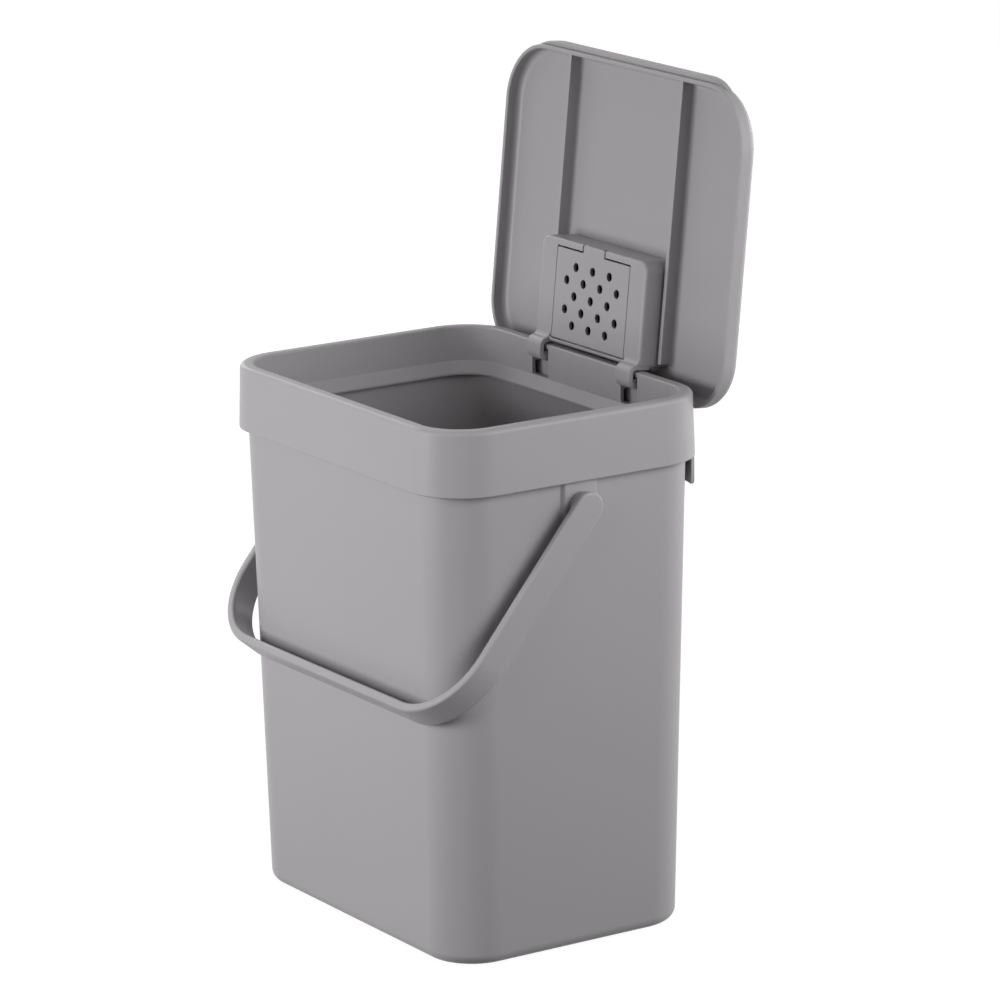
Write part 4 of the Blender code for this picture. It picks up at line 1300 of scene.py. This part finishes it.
def make_world():
    """White to the camera, dim as a light."""
    world = bpy.data.worlds.new("studio")
    world.use_nodes = True
    bpy.context.scene.world = world
    tree = world.node_tree
    tree.nodes.clear()
    light = add_node(tree, "ShaderNodeBackground", {"Color": WHITE, "Strength": WORLD_LIGHT})
    white = add_node(tree, "ShaderNodeBackground", {"Color": WHITE, "Strength": 1.0})
    choice = {0: seen_as_backdrop(tree), 1: light.outputs[0], 2: white.outputs[0]}
    mix = add_node(tree, "ShaderNodeMixShader", choice)
    add_node(tree, "ShaderNodeOutputWorld", {"Surface": mix.outputs[0]})


def make_floor():
    """A white studio floor that keeps a soft shadow."""
    mesh = bpy.data.meshes.new("floor")
    corners = [(x, y, -FLOOR_DROP) for x, y in ((-1, -1), (1, -1), (1, 1), (-1, 1))]
    mesh.from_pydata([(x * FLOOR_HALF, y * FLOOR_HALF, z) for x, y, z in corners], [], [(0, 1, 2, 3)])
    floor = linked("floor", mesh)
    made, tree, shader = new_material("studio floor")
    feed(tree, shader, {"Base Color": FLOOR_GREY, "Roughness": FLOOR_ROUGHNESS, "Specular IOR Level": 0.0})
    away = add_node(tree, "ShaderNodeVectorMath", {0: object_place(tree)}, operation="LENGTH")
    near = {"Value": away.outputs["Value"], "From Min": FLOOR_NEAR, "From Max": FLOOR_FAR}
    glow = add_node(tree, "ShaderNodeMapRange", {**near, "To Min": FLOOR_GLOW, "To Max": 1.0})
    strength = maths(tree, "MULTIPLY", glow.outputs[0], seen_as_backdrop(tree))
    lit = add_node(tree, "ShaderNodeEmission", {"Strength": strength})
    both = add_node(tree, "ShaderNodeAddShader", {0: shader.outputs[0], 1: lit.outputs[0]})
    tree.links.new(both.outputs[0], tree.nodes["Material Output"].inputs["Surface"])
    mesh.materials.append(made)


def soft_light(name, azimuth, elevation, distance, size, power):
    """A square soft box aimed at the caddy."""
    level = distance * math.cos(math.radians(elevation))
    turn = math.radians(azimuth)
    rise = distance * math.sin(math.radians(elevation))
    offset = Vector((level * math.sin(turn), -level * math.cos(turn), rise))
    data = bpy.data.lights.new(name, "AREA")
    data.shape = "SQUARE"
    data.size = size
    data.energy = power
    light = linked(name, data)
    light.location = Vector((0.0, 0.0, LIGHT_AIM)) + offset
    light.rotation_euler = (-offset).to_track_quat("-Z", "Y").to_euler()


def make_camera():
    """The photograph's viewpoint."""
    data = bpy.data.cameras.new("camera")
    data.lens = CAMERA_LENS
    data.sensor_width = SENSOR_WIDTH
    data.clip_end = CAMERA_SIGHT
    camera = linked("camera", data)
    level = math.cos(CAMERA_ELEVATION)
    rise = math.sin(CAMERA_ELEVATION)
    back = Vector((math.sin(CAMERA_AZIMUTH) * level, -math.cos(CAMERA_AZIMUTH) * level, rise))
    across = Vector((0.0, 0.0, 1.0)).cross(back).normalized()
    up = back.cross(across)
    right = math.cos(CAMERA_ROLL) * across + math.sin(CAMERA_ROLL) * up
    top = math.cos(CAMERA_ROLL) * up - math.sin(CAMERA_ROLL) * across
    turn = Matrix((right, top, back)).transposed().to_4x4()
    camera.matrix_world = Matrix.Translation(CAMERA_PLACE) @ turn
    bpy.context.scene.camera = camera


def light_studio():
    """Plain soft light: a near key in front, fills and sides, one low behind, a weak one above."""
    make_world()
    for name, setting in SOFT_BOXES.items():
        soft_light(name, *setting)


def build_caddy():
    """Every piece in its finish, on its body, in place of its node."""
    group = moulded_group()
    satin = plastic("satin grey plastic", group, SATIN_GRAIN, SATIN_DEPTH, SATIN_ROUGHNESS)
    smooth = plastic("smooth grey plastic", group, SMOOTH_GRAIN, SMOOTH_DEPTH, SMOOTH_ROUGHNESS)
    steel = turned_steel()
    felt = carbon_felt()
    dressed(make_bucket(satin), "caddy", "grey_plastic", "bucket")
    dressed(make_collar(satin), "caddy", "grey_plastic", "collar")
    dressed(make_pin(-1, "left", steel), "caddy", "hinge_steel", "hinge_pin_left")
    dressed(make_pin(1, "right", steel), "caddy", "hinge_steel", "hinge_pin_right")
    dressed(make_handle(satin), "bail", "grey_plastic", "handle")
    dressed(make_lid(satin), "lid_assembly", "grey_plastic", "lid")
    dressed(make_housing(smooth), "lid_assembly", "grey_plastic", "filter_housing")
    dressed(make_carbon_pad(felt), "lid_assembly", "carbon_felt", "carbon_filter")
    dressed(make_door(smooth), "filter_door", "grey_plastic", "filter_cover")


build_caddy()
bpy.context.scene.view_settings.view_transform = "Standard"
light_studio()
make_floor()
make_camera()
